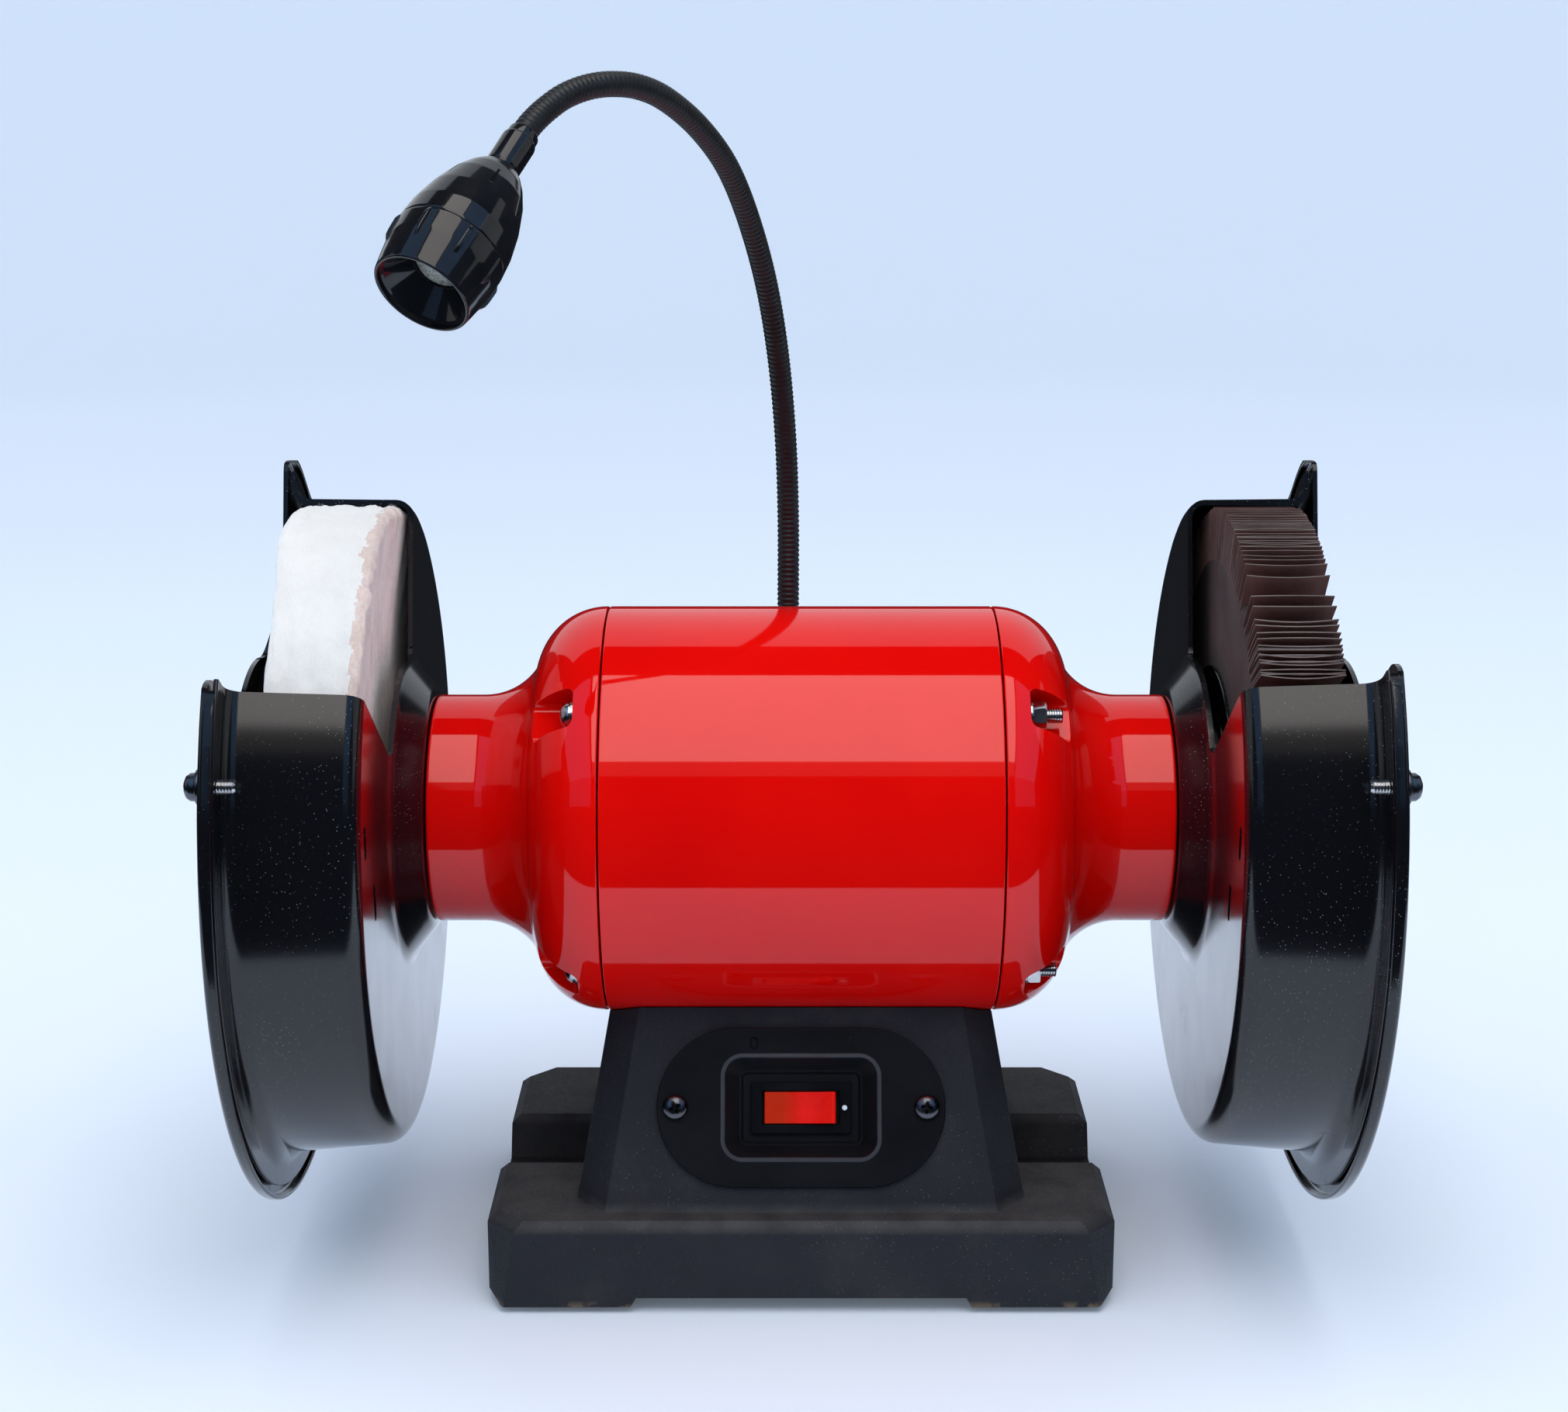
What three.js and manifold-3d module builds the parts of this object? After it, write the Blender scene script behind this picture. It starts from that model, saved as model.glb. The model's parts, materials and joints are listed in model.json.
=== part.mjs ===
// Twin-wheel bench grinder and polisher: a cast base with a sloped switch panel, an induction motor with
// a spindle end on each side, a cloth buff in the left guard, a flap wheel in the right guard, and a
// gooseneck lamp on the back of the motor.
// Millimetres, +Z up. The origin is under the motor's centre, on the bench. The spindle runs along X,
// the switch faces -Y and the lamp stands at +Y.
import * as THREE from 'three';
import { mergeVertices } from 'three/addons/utils/BufferGeometryUtils.js';
import { ConvexGeometry } from 'three/addons/geometries/ConvexGeometry.js';
import Module from 'manifold-3d';

const wasm = await Module();
wasm.setup();

// ---------------------------------------------------------------- driving dimensions
const GAP = 0.3; // clearance that touching pieces keep
const SPINDLE_Z = 149; // height of the spindle above the bench
const BIG_STEPS = 28; // facets round a guard, a wheel or a motor case
const BELL_STEPS = 24;
const MID_STEPS = 16;
const SMALL_STEPS = 8;
const SIDES = { left: -1, right: 1 };

const FOOT = { radius: 9, proud: 2.2, depth: 4, x: 79, y: 50 };
const FOOT_NAMES = ['front_left', 'front_right', 'rear_left', 'rear_right'];
const BASE = { width: 202, front: -70, back: 67, top: 31, edgeChamfer: 3, cornerChamfer: 9 };
const PAD = { length: 48, sideLength: 46, recess: 3.2, bottomChamfer: 4.5, bottomRise: 2.5 };
const HOLLOW = { length: 122, depth: 96, roof: 6 }; // the opening under the base
const CAPACITOR = { radius: 15, length: 62, y: 26, z: 40 };
const INLET = { x: 35, z: 15, radius: 7 }; // the cord's way in, at the back of the base
const CHANNEL = { y: -0.5, mouth: 43, floor: 28, floorZ: 17.5, inner: 74 };
const BENCH_HOLE = { x: 89, radius: 4.5, slot: 4 };
const PEDESTAL = {
  foot: -61.4, footZ: 29.5, halfWidth: 63.5, bevelX: 9.5, bevelY: 11.4, narrowing: 0.177, topZ: 112, wall: 5,
};
const LEAN = THREE.MathUtils.degToRad(23.5); // how far the switch face leans back
const PANEL_UP = 35; // distance up the slope to the switch plate's centre

const PLATE = { length: 93.5, height: 51.2, thickness: 1.6, screwSpacing: 81.4, screwHole: 2.3 };
const PLATE_SCREW = { head: 4.15, height: 2.5, radius: 1.9, length: 9 };
const TUB = { mouthX: 49.2, mouthY: 31.9, floorX: 38.2, floorY: 22.4, depth: 6.5, wall: 1.4 };
const SWITCH = { bezelX: 32.7, bezelY: 16.8, bezelDepth: 1.8, bodyX: 27.4, bodyY: 13.2, bodyDepth: 19 };
const ROCKER = { length: 24, width: 10.2, thickness: 5, shoulder: 3.4, tilt: THREE.MathUtils.degToRad(10) };

const CASE = { radius: 67, halfLength: 63.2, wall: 3.6 };
const BELL = {
  domeRadius: 23, domeX: 63.9, crease: 7.6, flareRadius: 21.7, flareFrom: 214, neckX: 105, neckRadius: 37.6,
  wall: 3.5,
};
const NECK_END = 120.1;
const BEARING = { radius: 19.85, bore: 8.5, from: 98.3, width: 12, lip: 12.5 };
const TIE_BOLT = {
  circle: 59.5, radius: 2.5, head: 4.6, headHeight: 4, seat: 71.5, pocket: 14, floor: 6.2, stud: 11,
};
const TIE_NUT = { flats: 8, height: 4 };
const TIE_ANGLES = [45, 135, 225, 315];
const LUG = { end: 90, width: 22 };
const CORE = { length: 60, radius: 63.1, bore: 33, slots: 18, slotDepth: 13, groove: 7 };
const SLOT_EDGES = [-0.38, 0.12]; // where a slot starts and ends, in slot pitches
const ROTOR = { radius: 32.6, endRing: 27, ringLength: 5 };
const SHAFT = { core: 11, body: 10, seat: 8.2, wheel: 7.9, end: 179.5 };

const WHEEL_RADIUS = 100;
const BUFF = { from: 134.5, to: 161, worn: 5 };
const FLAP = { from: 137, to: 163, hub: 46 };
const FLANGE = { radius: 30, hub: 14, start: 122.3, thickness: 4.2, bore: 8.2 };
const NUT = { flats: 24, height: 9.6 };

const SHEET = 1.5;
const GUARD = { face: 120.5, bore: 17, coneTop: 38.6, coneFoot: 50, plate: 129.6, drum: 110, drumEnd: 113.5 };
const GUARD_RIM = { x: 169, radius: 124 };
const COVER = {
  inside: 171.6, radius: 128.6, lip: 168.8, domeFoot: 75, domeTop: 188.6, rearCorner: 5, frontCorner: 11,
};
const DOME_STEPS = [1, 0.8, 0.5, 0.25]; // shares of the dome's foot radius
// Angles about the spindle are measured upwards from the front horizontal, in degrees.
const NOTCH = { inner: 50, back: 106, front: { left: 33.6, right: 34.9 }, coverFront: { left: 34.3, right: 36.7 } };
const COVER_SCREW = { circle: 119, angles: [19, -105, -142], head: 4.2, washer: 5.4, radius: 2.4, tip: 163.5 };
// The upper rear of each guard is drawn in, fully between the full angles. The depths are for the drum beside
// the plate, the drum beside the rim, the ear at the notch and the rim behind that ear.
const DRAWN_IN = {
  from: 60, fullFrom: 100, fullTo: 130, to: 190, earTo: 122, start: 80, steady: 105,
  drum: 7.2, drumEnd: 10.3, ear: 11.5, rim: 17.5,
};

const LAMP_FOOT = { x: -4, y: 84, bore: 4.6, top: 11 };
const LAMP_BRACKET = { width: 40, depth: 36, height: 34, y: 80, z: -6 };
const NECK_TUBE_RADIUS = 4;
const JOINT_GAP = 4.6; // from a bend's centre to the flat end of the next length of gooseneck
const HEAD_NOSE = new THREE.Vector3(-88, -62, SPINDLE_Z + 211);
const HEAD_WAY = new THREE.Vector3(-20, -34, -33).normalize();
const HEAD = { length: 51, seam: 33, collar: 15 };
const GOOSENECK_ROUTE = [
  [[-4, 84, 22], [-4, 85, 51], [-4, 88, 83], [-5, 85, 112], [-7.5, 78, 141]],
  [[-7.5, 78, 141], [-11.5, 66, 167], [-17.3, 50, 190], [-24, 32, 208], [-32.5, 13, 221], [-42, -4, 230],
    [-50, -15, 234], [-57.6, -24, 235]],
  [[-57.6, -24, 235], [-64.4, -30.5, 234.2], [-70.9, -37, 231.7], [-76.5, -43, 227.6], [-80.5, -49.2, 223.4],
    [-81.8, -51.4, 221.3]],
];

// ---------------------------------------------------------------- materials
function finish(color, roughness, metalness = 0) {
  return { color, roughness, metalness };
}

const RED_PAINT = finish(0xe01208, 0.18);
const GLOSS_BLACK = finish(0x0c0e12, 0.2);
const CAST_PAINT = finish(0x2d2f36, 0.75);
const BLACK_PLASTIC = finish(0x16181d, 0.45);
const RED_PLASTIC = finish(0xe01505, 0.25);
const ZINC = finish(0xc8cbd0, 0.28, 1);
const STEEL = finish(0x9a9da2, 0.35, 1);
const LAMINATION = finish(0x55565a, 0.55, 0.8);
const COPPER = finish(0xa8572a, 0.35, 1);
const RUBBER = finish(0x111111, 0.9);
const CLOTH = finish(0xece5e0, 0.95);
const ABRASIVE = finish(0x4b3734, 0.95);
const LENS = finish(0xaeb2a8, 0.15);

// ---------------------------------------------------------------- helpers
const model = new THREE.Group();

// A closed, outward-facing geometry whose shared vertices are merged.
function closed(geometry) {
  const bare = geometry.index ? geometry.toNonIndexed() : geometry.clone();
  bare.deleteAttribute('normal');
  bare.deleteAttribute('uv');
  const merged = mergeVertices(bare, 1e-4);
  const at = merged.attributes.position;
  const index = merged.index.array;
  const kept = [];
  const [a, b, c] = [new THREE.Vector3(), new THREE.Vector3(), new THREE.Vector3()];
  let volume = 0;
  for (let i = 0; i < index.length; i += 3) {
    const [p, q, r] = [index[i], index[i + 1], index[i + 2]];
    if (p !== q && q !== r && r !== p) {
      kept.push(p, q, r);
      a.fromBufferAttribute(at, p);
      b.fromBufferAttribute(at, q);
      c.fromBufferAttribute(at, r);
      volume += a.dot(b.cross(c));
    }
  }
  merged.setIndex(volume < 0 ? kept.reverse() : kept);
  return merged;
}

function solid(geometry) {
  const merged = closed(geometry);
  return new wasm.Manifold(new wasm.Mesh({
    numProp: 3,
    vertProperties: new Float32Array(merged.attributes.position.array),
    triVerts: new Uint32Array(merged.index.array),
  }));
}

function fromSolid(manifold) {
  const mesh = manifold.getMesh();
  const geometry = new THREE.BufferGeometry();
  geometry.setAttribute('position', new THREE.BufferAttribute(new Float32Array(mesh.vertProperties), 3));
  geometry.setIndex(new THREE.BufferAttribute(new Uint32Array(mesh.triVerts), 1));
  return geometry;
}

function addPiece(name, shape, look, parent = model) {
  const geometry = shape.isBufferGeometry ? closed(shape) : fromSolid(shape);
  geometry.computeVertexNormals();
  const mesh = new THREE.Mesh(geometry, new THREE.MeshStandardMaterial(look));
  mesh.name = name;
  parent.add(mesh);
  return mesh;
}

// A solid turned about the X axis from [x, radius] points; side -1 mirrors it to the left.
function turned(points, side = 1, steps = BIG_STEPS) {
  const profile = points.map(([x, radius]) => new THREE.Vector2(radius, x * side));
  return new THREE.LatheGeometry(profile, steps).rotateZ(-Math.PI / 2);
}

// The same, for a ring whose profile doesn't meet the axis.
function turnedRing(points, side = 1, steps = BIG_STEPS) {
  return turned([...points, points[0]], side, steps);
}

function tubeBetween(from, to, outer, inner, side = 1, steps = BIG_STEPS) {
  return turnedRing([[from, inner], [to, inner], [to, outer], [from, outer]], side, steps);
}

function cylinderAlong(axis, radius, length, steps = MID_STEPS) {
  const geometry = new THREE.CylinderGeometry(radius, radius, length, steps);
  if (axis === 'x') {
    geometry.rotateZ(-Math.PI / 2);
  }
  if (axis === 'z') {
    geometry.rotateX(Math.PI / 2);
  }
  return geometry;
}

function arcPoints(cx, cr, radius, fromDegrees, toDegrees, steps) {
  const points = [];
  for (let i = 0; i <= steps; i += 1) {
    const angle = THREE.MathUtils.degToRad(fromDegrees + (toDegrees - fromDegrees) * i / steps);
    points.push([cx + radius * Math.cos(angle), cr + radius * Math.sin(angle)]);
  }
  return points;
}

function hull(points) {
  return new ConvexGeometry(points.map(([x, y, z]) => new THREE.Vector3(x, y, z)));
}

// A box with sloped sides: one rectangle at z0 and another at z1.
function taperedBox(sizeX0, sizeY0, z0, sizeX1, sizeY1, z1) {
  const corners = [[-1, -1], [1, -1], [1, 1], [-1, 1]];
  return hull([
    ...corners.map(([u, v]) => [u * sizeX0 / 2, v * sizeY0 / 2, z0]),
    ...corners.map(([u, v]) => [u * sizeX1 / 2, v * sizeY1 / 2, z1]),
  ]);
}

function pill(length, height, depth) {
  const radius = height / 2;
  const reach = length / 2 - radius;
  const shape = new THREE.Shape();
  shape.absarc(reach, 0, radius, -Math.PI / 2, Math.PI / 2);
  shape.absarc(-reach, 0, radius, Math.PI / 2, 3 * Math.PI / 2);
  return new THREE.ExtrudeGeometry(shape, { depth, bevelEnabled: false, curveSegments: SMALL_STEPS });
}

// A screw or bolt along +X: its head sits on x = 0 and its shank runs to -length.
function screw(headRadius, headHeight, radius, length, steps = SMALL_STEPS) {
  return turned([
    [-length, 0], [-length, radius * 0.7], [-length + radius * 0.4, radius], [0, radius], [0, headRadius],
    [headHeight * 0.45, headRadius], [headHeight * 0.85, headRadius * 0.72], [headHeight, headRadius * 0.3],
    [headHeight, 0],
  ], 1, steps);
}

function hexNut(flats, height, bore) {
  const corner = flats / Math.sqrt(3);
  const body = solid(new THREE.CylinderGeometry(corner, corner, height, 6).rotateZ(-Math.PI / 2));
  return body.subtract(solid(cylinderAlong('x', bore, height + 2, MID_STEPS)));
}

// ---------------------------------------------------------------- base
function octagon(halfX, front, back, chamfer, z) {
  return [
    [-halfX + chamfer, front, z], [halfX - chamfer, front, z], [halfX, front + chamfer, z],
    [halfX, back - chamfer, z], [halfX - chamfer, back, z], [-halfX + chamfer, back, z],
    [-halfX, back - chamfer, z], [-halfX, front + chamfer, z],
  ];
}

function baseSlab() {
  const half = BASE.width / 2;
  const inset = BASE.edgeChamfer;
  return hull([
    ...octagon(half - PAD.bottomChamfer, BASE.front, BASE.back, 1, FOOT.proud),
    ...octagon(half, BASE.front, BASE.back, BASE.cornerChamfer, FOOT.proud + PAD.bottomRise),
    ...octagon(half, BASE.front, BASE.back, BASE.cornerChamfer, BASE.top - inset),
    ...octagon(half - inset, BASE.front + inset, BASE.back - inset, BASE.cornerChamfer, BASE.top),
  ]);
}

// The pedestal as a cut-off pyramid; shrink pulls every face inwards for the hollow inside.
function pedestalBody(shrink, z0, z1) {
  const section = (z) => {
    const up = z - PEDESTAL.footZ;
    const front = PEDESTAL.foot + up * Math.tan(LEAN) + shrink;
    const half = PEDESTAL.halfWidth - PEDESTAL.narrowing * up - shrink * 0.6;
    const wide = half + PEDESTAL.bevelX - shrink * 0.4;
    const corner = front + PEDESTAL.bevelY - up * 0.02;
    return [
      [-half, front, z], [half, front, z], [wide, corner, z], [wide, -corner, z],
      [half, -front, z], [-half, -front, z], [-wide, -corner, z], [-wide, corner, z],
    ];
  };
  return hull([...section(z0), ...section(z1)]);
}

function bottomRecess(alongX) {
  const half = alongX ? BASE.width / 2 - PAD.length : (BASE.back - BASE.front) / 2 - PAD.sideLength;
  const rise = PAD.recess;
  const reach = BASE.width;
  const wedge = taperedBox(2 * (half + rise), 2 * reach, 0, 2 * half, 2 * reach, FOOT.proud + rise);
  return alongX ? wedge : wedge.rotateZ(Math.PI / 2);
}

function onPanel(geometry) {
  const up = new THREE.Vector3(0, Math.sin(LEAN), Math.cos(LEAN)).multiplyScalar(PANEL_UP);
  return geometry.rotateX(Math.PI / 2 - LEAN).translate(0, PEDESTAL.foot + up.y, PEDESTAL.footZ + up.z);
}

// Everything that the casting's faces are cut by, at one end of the base.
function benchBoltCuts(side) {
  const reach = BASE.width - 2 * CHANNEL.inner;
  const top = BASE.top + 1;
  const channel = taperedBox(reach, CHANNEL.floor, CHANNEL.floorZ, reach + 6, CHANNEL.mouth, top);
  const hole = pill(2 * BENCH_HOLE.radius + BENCH_HOLE.slot, 2 * BENCH_HOLE.radius, BASE.top);
  return [channel.translate(side * BASE.width / 2, CHANNEL.y, 0), hole.translate(side * BENCH_HOLE.x, 0, 0)];
}

function panelCuts() {
  const clear = 2 * TUB.wall + 2 * GAP;
  const window = new THREE.BoxGeometry(TUB.mouthX + clear, TUB.mouthY + clear, 30);
  const holes = [-1, 1].map((side) => {
    const hole = cylinderAlong('z', PLATE.screwHole, 30, SMALL_STEPS);
    return hole.translate(side * PLATE.screwSpacing / 2, 0, 0);
  });
  return [window, ...holes].map(onPanel);
}

function footCuts() {
  return footPlaces().map(([x, y]) => {
    const seat = cylinderAlong('z', FOOT.radius + GAP, 2 * FOOT.depth, MID_STEPS);
    return seat.translate(x, y, GAP);
  });
}

function makeBaseCasting() {
  const body = solid(baseSlab()).add(solid(pedestalBody(0, BASE.top - HOLLOW.roof, PEDESTAL.topZ)));
  const saddle = cylinderAlong('x', CASE.radius + GAP, BASE.width, 2 * BIG_STEPS).translate(0, 0, SPINDLE_Z);
  const hollowTop = SPINDLE_Z - CASE.radius - PEDESTAL.wall - 1.5;
  const inlet = new THREE.CylinderGeometry(INLET.radius, INLET.radius, 30, MID_STEPS);
  const cuts = [
    saddle, pedestalBody(PEDESTAL.wall, 10, hollowTop),
    taperedBox(HOLLOW.length, HOLLOW.depth, -1, HOLLOW.length, HOLLOW.depth, BASE.top - HOLLOW.roof),
    bottomRecess(true), bottomRecess(false), ...benchBoltCuts(-1), ...benchBoltCuts(1), ...footCuts(),
    ...panelCuts(), inlet.translate(INLET.x, BASE.back - 15, INLET.z),
  ];
  return cuts.reduce((left, cut) => left.subtract(solid(cut)), body);
}

function footPlaces() {
  return [[-FOOT.x, -FOOT.y], [FOOT.x, -FOOT.y], [-FOOT.x, FOOT.y], [FOOT.x, FOOT.y]];
}

function addBase() {
  addPiece('base_casting', makeBaseCasting(), CAST_PAINT);
  const cover = new THREE.BoxGeometry(HOLLOW.length - 2 * GAP, HOLLOW.depth - 2 * GAP, SHEET);
  addPiece('base_plate', cover.translate(0, 0, FOOT.proud + PAD.recess + 2), ZINC);
  footPlaces().forEach(([x, y], i) => {
    const { radius, depth } = FOOT;
    const foot = turned([[0, 0], [0, radius - 1], [1, radius], [depth, radius], [depth, 0]], 1, MID_STEPS);
    addPiece(`rubber_foot_${FOOT_NAMES[i]}`, foot.rotateY(-Math.PI / 2).translate(x, y, 0), RUBBER);
  });
  const gland = turnedRing([
    [-9, 3.6], [-9, 6.6], [0.4, 6.6], [0.4, 9], [5, 9], [12, 5.4], [12, 3.6],
  ], 1, MID_STEPS);
  addPiece('cable_gland', gland.rotateZ(Math.PI / 2).translate(INLET.x, BASE.back, INLET.z), RUBBER);
  const can = cylinderAlong('x', CAPACITOR.radius, CAPACITOR.length, MID_STEPS);
  addPiece('capacitor', can.translate(0, CAPACITOR.y, CAPACITOR.z), BLACK_PLASTIC);
}

// ---------------------------------------------------------------- switch
// The panel's own frame: X along it, Y up the slope, Z out of it, from the face of the casting.
function makePanelGroup() {
  const panel = new THREE.Group();
  panel.rotation.x = Math.PI / 2 - LEAN;
  const [y, z] = [PEDESTAL.foot + PANEL_UP * Math.sin(LEAN), PEDESTAL.footZ + PANEL_UP * Math.cos(LEAN)];
  panel.position.set(0, y, z);
  model.add(panel);
  return panel;
}

function makeSwitchPlate() {
  const face = GAP + PLATE.thickness;
  const floor = face - TUB.depth;
  const skin = 2 * TUB.wall;
  const outer = [TUB.floorX + skin, TUB.floorY + skin, floor - TUB.wall];
  const slopeX = (TUB.mouthX - TUB.floorX) / TUB.depth;
  const slopeY = (TUB.mouthY - TUB.floorY) / TUB.depth;
  const blank = solid(pill(PLATE.length, PLATE.height, PLATE.thickness).translate(0, 0, GAP));
  const tub = taperedBox(...outer, TUB.mouthX + skin, TUB.mouthY + skin, GAP + 0.5);
  const holes = [-1, 1].map((side) => {
    const hole = cylinderAlong('z', PLATE.screwHole, 20, SMALL_STEPS);
    return hole.translate(side * PLATE.screwSpacing / 2, 0, 0);
  });
  const cuts = [
    taperedBox(TUB.floorX, TUB.floorY, floor, TUB.mouthX + slopeX, TUB.mouthY + slopeY, face + 1),
    new THREE.BoxGeometry(SWITCH.bodyX + 2 * GAP, SWITCH.bodyY + 2 * GAP, 40), ...holes,
  ];
  return cuts.reduce((left, cut) => left.subtract(solid(cut)), blank.add(solid(tub)));
}

// The rocker's upper face is a shallow V, and it turns about an axis up the slope.
function makeRocker() {
  const half = ROCKER.length / 2;
  const lift = half * Math.tan(ROCKER.tilt);
  const bottom = -ROCKER.thickness;
  const shape = new THREE.Shape([
    new THREE.Vector2(-half, lift), new THREE.Vector2(-half + 1, bottom + ROCKER.shoulder),
    new THREE.Vector2(0, bottom), new THREE.Vector2(half - 1, bottom + ROCKER.shoulder),
    new THREE.Vector2(half, lift), new THREE.Vector2(0, 0),
  ]);
  const rocker = new THREE.ExtrudeGeometry(shape, { depth: ROCKER.width, bevelEnabled: false });
  return rocker.translate(0, 0, -ROCKER.width / 2).rotateX(Math.PI / 2).rotateY(-ROCKER.tilt);
}

function addSwitch() {
  const panel = makePanelGroup();
  addPiece('switch_plate', makeSwitchPlate(), BLACK_PLASTIC, panel);
  const floor = GAP + PLATE.thickness - TUB.depth + GAP;
  const bezel = new THREE.BoxGeometry(SWITCH.bezelX, SWITCH.bezelY, SWITCH.bezelDepth);
  const barrel = new THREE.BoxGeometry(SWITCH.bodyX, SWITCH.bodyY, SWITCH.bodyDepth);
  let body = solid(bezel.translate(0, 0, floor + SWITCH.bezelDepth / 2));
  body = body.add(solid(barrel.translate(0, 0, floor + 1 - SWITCH.bodyDepth / 2)));
  const pocket = new THREE.BoxGeometry(ROCKER.length + 1.4, ROCKER.width + 2 * GAP, 22);
  body = body.subtract(solid(pocket.translate(0, 0, floor + SWITCH.bezelDepth - 0.5)));
  addPiece('switch_body', body, BLACK_PLASTIC, panel);
  addPiece('switch_rocker', makeRocker().translate(0, 0, floor + SWITCH.bezelDepth), RED_PLASTIC, panel);
  for (const [name, side] of Object.entries(SIDES)) {
    const { head, height, radius, length } = PLATE_SCREW;
    const pan = screw(head, height, radius, length).rotateY(-Math.PI / 2);
    pan.translate(side * PLATE.screwSpacing / 2, 0, 2 * GAP + PLATE.thickness);
    addPiece(`switch_plate_screw_${name}`, pan, ZINC, panel);
  }
}

// ---------------------------------------------------------------- motor
// Places a geometry that was made on the X axis at one of the four tie bolts.
function atTieBolt(geometry, degrees) {
  return geometry.translate(0, 0, TIE_BOLT.circle).rotateX(THREE.MathUtils.degToRad(degrees));
}

// The bell's outside: a domed shoulder, a flare and the neck that carries the bearing.
function bellOutside() {
  const { domeRadius, domeX, flareRadius, neckX, neckRadius, crease, flareFrom } = BELL;
  return [
    [CASE.halfLength + GAP / 2, CASE.radius],
    ...arcPoints(domeX, CASE.radius - domeRadius, domeRadius, 90, crease, 4),
    ...arcPoints(neckX, neckRadius + flareRadius, flareRadius, flareFrom, 270, 3),
    [NECK_END - 1, neckRadius], [NECK_END, neckRadius - 1],
  ];
}

function bellInside() {
  const { domeRadius, domeX, flareRadius, neckX, neckRadius, wall, crease, flareFrom } = BELL;
  const bore = BEARING.radius + GAP;
  const pocketEnd = BEARING.from + BEARING.width + 1;
  return [
    [NECK_END, BEARING.lip], [pocketEnd + 1, BEARING.lip], [pocketEnd + 1, bore],
    [BEARING.from - 0.5, bore], [BEARING.from - 0.5, bore + 5], [pocketEnd, bore + 5],
    [pocketEnd, neckRadius - wall],
    ...arcPoints(neckX, neckRadius + flareRadius, flareRadius + wall, 270, flareFrom + 4, 2),
    ...arcPoints(domeX, CASE.radius - domeRadius, domeRadius - wall, crease + 8, 90, 2),
    [CASE.halfLength + GAP / 2, CASE.radius - wall],
  ];
}

// The four pockets that the through bolts are seated in, each with its lug of metal behind it.
function makeEndBell(side) {
  const outside = bellOutside();
  const skin = solid(turned([[outside[0][0], 0], ...outside, [NECK_END, 0]], side, BELL_STEPS));
  let bell = solid(turnedRing([...outside, ...bellInside()], side, BELL_STEPS));
  for (const degrees of TIE_ANGLES) {
    const lug = new THREE.BoxGeometry(LUG.end - CASE.halfLength - GAP, TIE_BOLT.pocket + 5, LUG.width);
    lug.translate(side * (CASE.halfLength + LUG.end) / 2, 0, -1);
    bell = bell.add(solid(atTieBolt(lug, degrees)).intersect(skin));
  }
  for (const degrees of TIE_ANGLES) {
    const [depth, height] = [20, 24];
    const pocket = new THREE.BoxGeometry(depth, TIE_BOLT.pocket, height);
    pocket.translate(side * (TIE_BOLT.seat + depth / 2), 0, height / 2 - TIE_BOLT.floor);
    const hole = cylinderAlong('x', TIE_BOLT.radius + GAP, 40, SMALL_STEPS).translate(side * TIE_BOLT.seat, 0, 0);
    bell = bell.subtract(solid(atTieBolt(pocket, degrees))).subtract(solid(atTieBolt(hole, degrees)));
  }
  return bell;
}

function statorBore() {
  const bore = new THREE.Path();
  const pitch = 2 * Math.PI / CORE.slots;
  const [open, shut] = SLOT_EDGES;
  const corners = [[open, 0], [open, CORE.slotDepth], [shut, CORE.slotDepth], [shut, 0]];
  for (let i = 0; i < CORE.slots; i += 1) {
    corners.forEach(([turn, deep], corner) => {
      const angle = (i + turn) * pitch;
      const reach = CORE.bore + deep;
      const draw = i + corner === 0 ? 'moveTo' : 'lineTo';
      bore[draw](reach * Math.cos(angle), reach * Math.sin(angle));
    });
  }
  bore.closePath();
  return bore;
}

function makeStatorCore() {
  const outline = new THREE.Shape();
  outline.absarc(0, 0, CORE.radius, 0, 2 * Math.PI);
  outline.holes.push(statorBore());
  const options = { depth: CORE.length, bevelEnabled: false, curveSegments: 24 };
  const stack = new THREE.ExtrudeGeometry(outline, options);
  let core = solid(stack.translate(0, 0, -CORE.length / 2).rotateY(Math.PI / 2));
  for (const degrees of TIE_ANGLES) {
    const groove = new THREE.BoxGeometry(CORE.length + 2, CORE.groove, 20).translate(0, 0, 6);
    core = core.subtract(solid(atTieBolt(groove, degrees)));
  }
  return core;
}

function makeTieBolt(degrees) {
  const seat = TIE_BOLT.seat + GAP;
  const bolt = screw(TIE_BOLT.head, TIE_BOLT.headHeight, TIE_BOLT.radius, 2 * seat + TIE_BOLT.stud);
  return atTieBolt(bolt.rotateZ(Math.PI).translate(-seat, 0, 0), degrees);
}

function makeTieNut(degrees) {
  const nut = fromSolid(hexNut(TIE_NUT.flats, TIE_NUT.height, TIE_BOLT.radius + GAP));
  return atTieBolt(nut.translate(TIE_BOLT.seat + GAP + TIE_NUT.height / 2, 0, 0), degrees);
}

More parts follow.
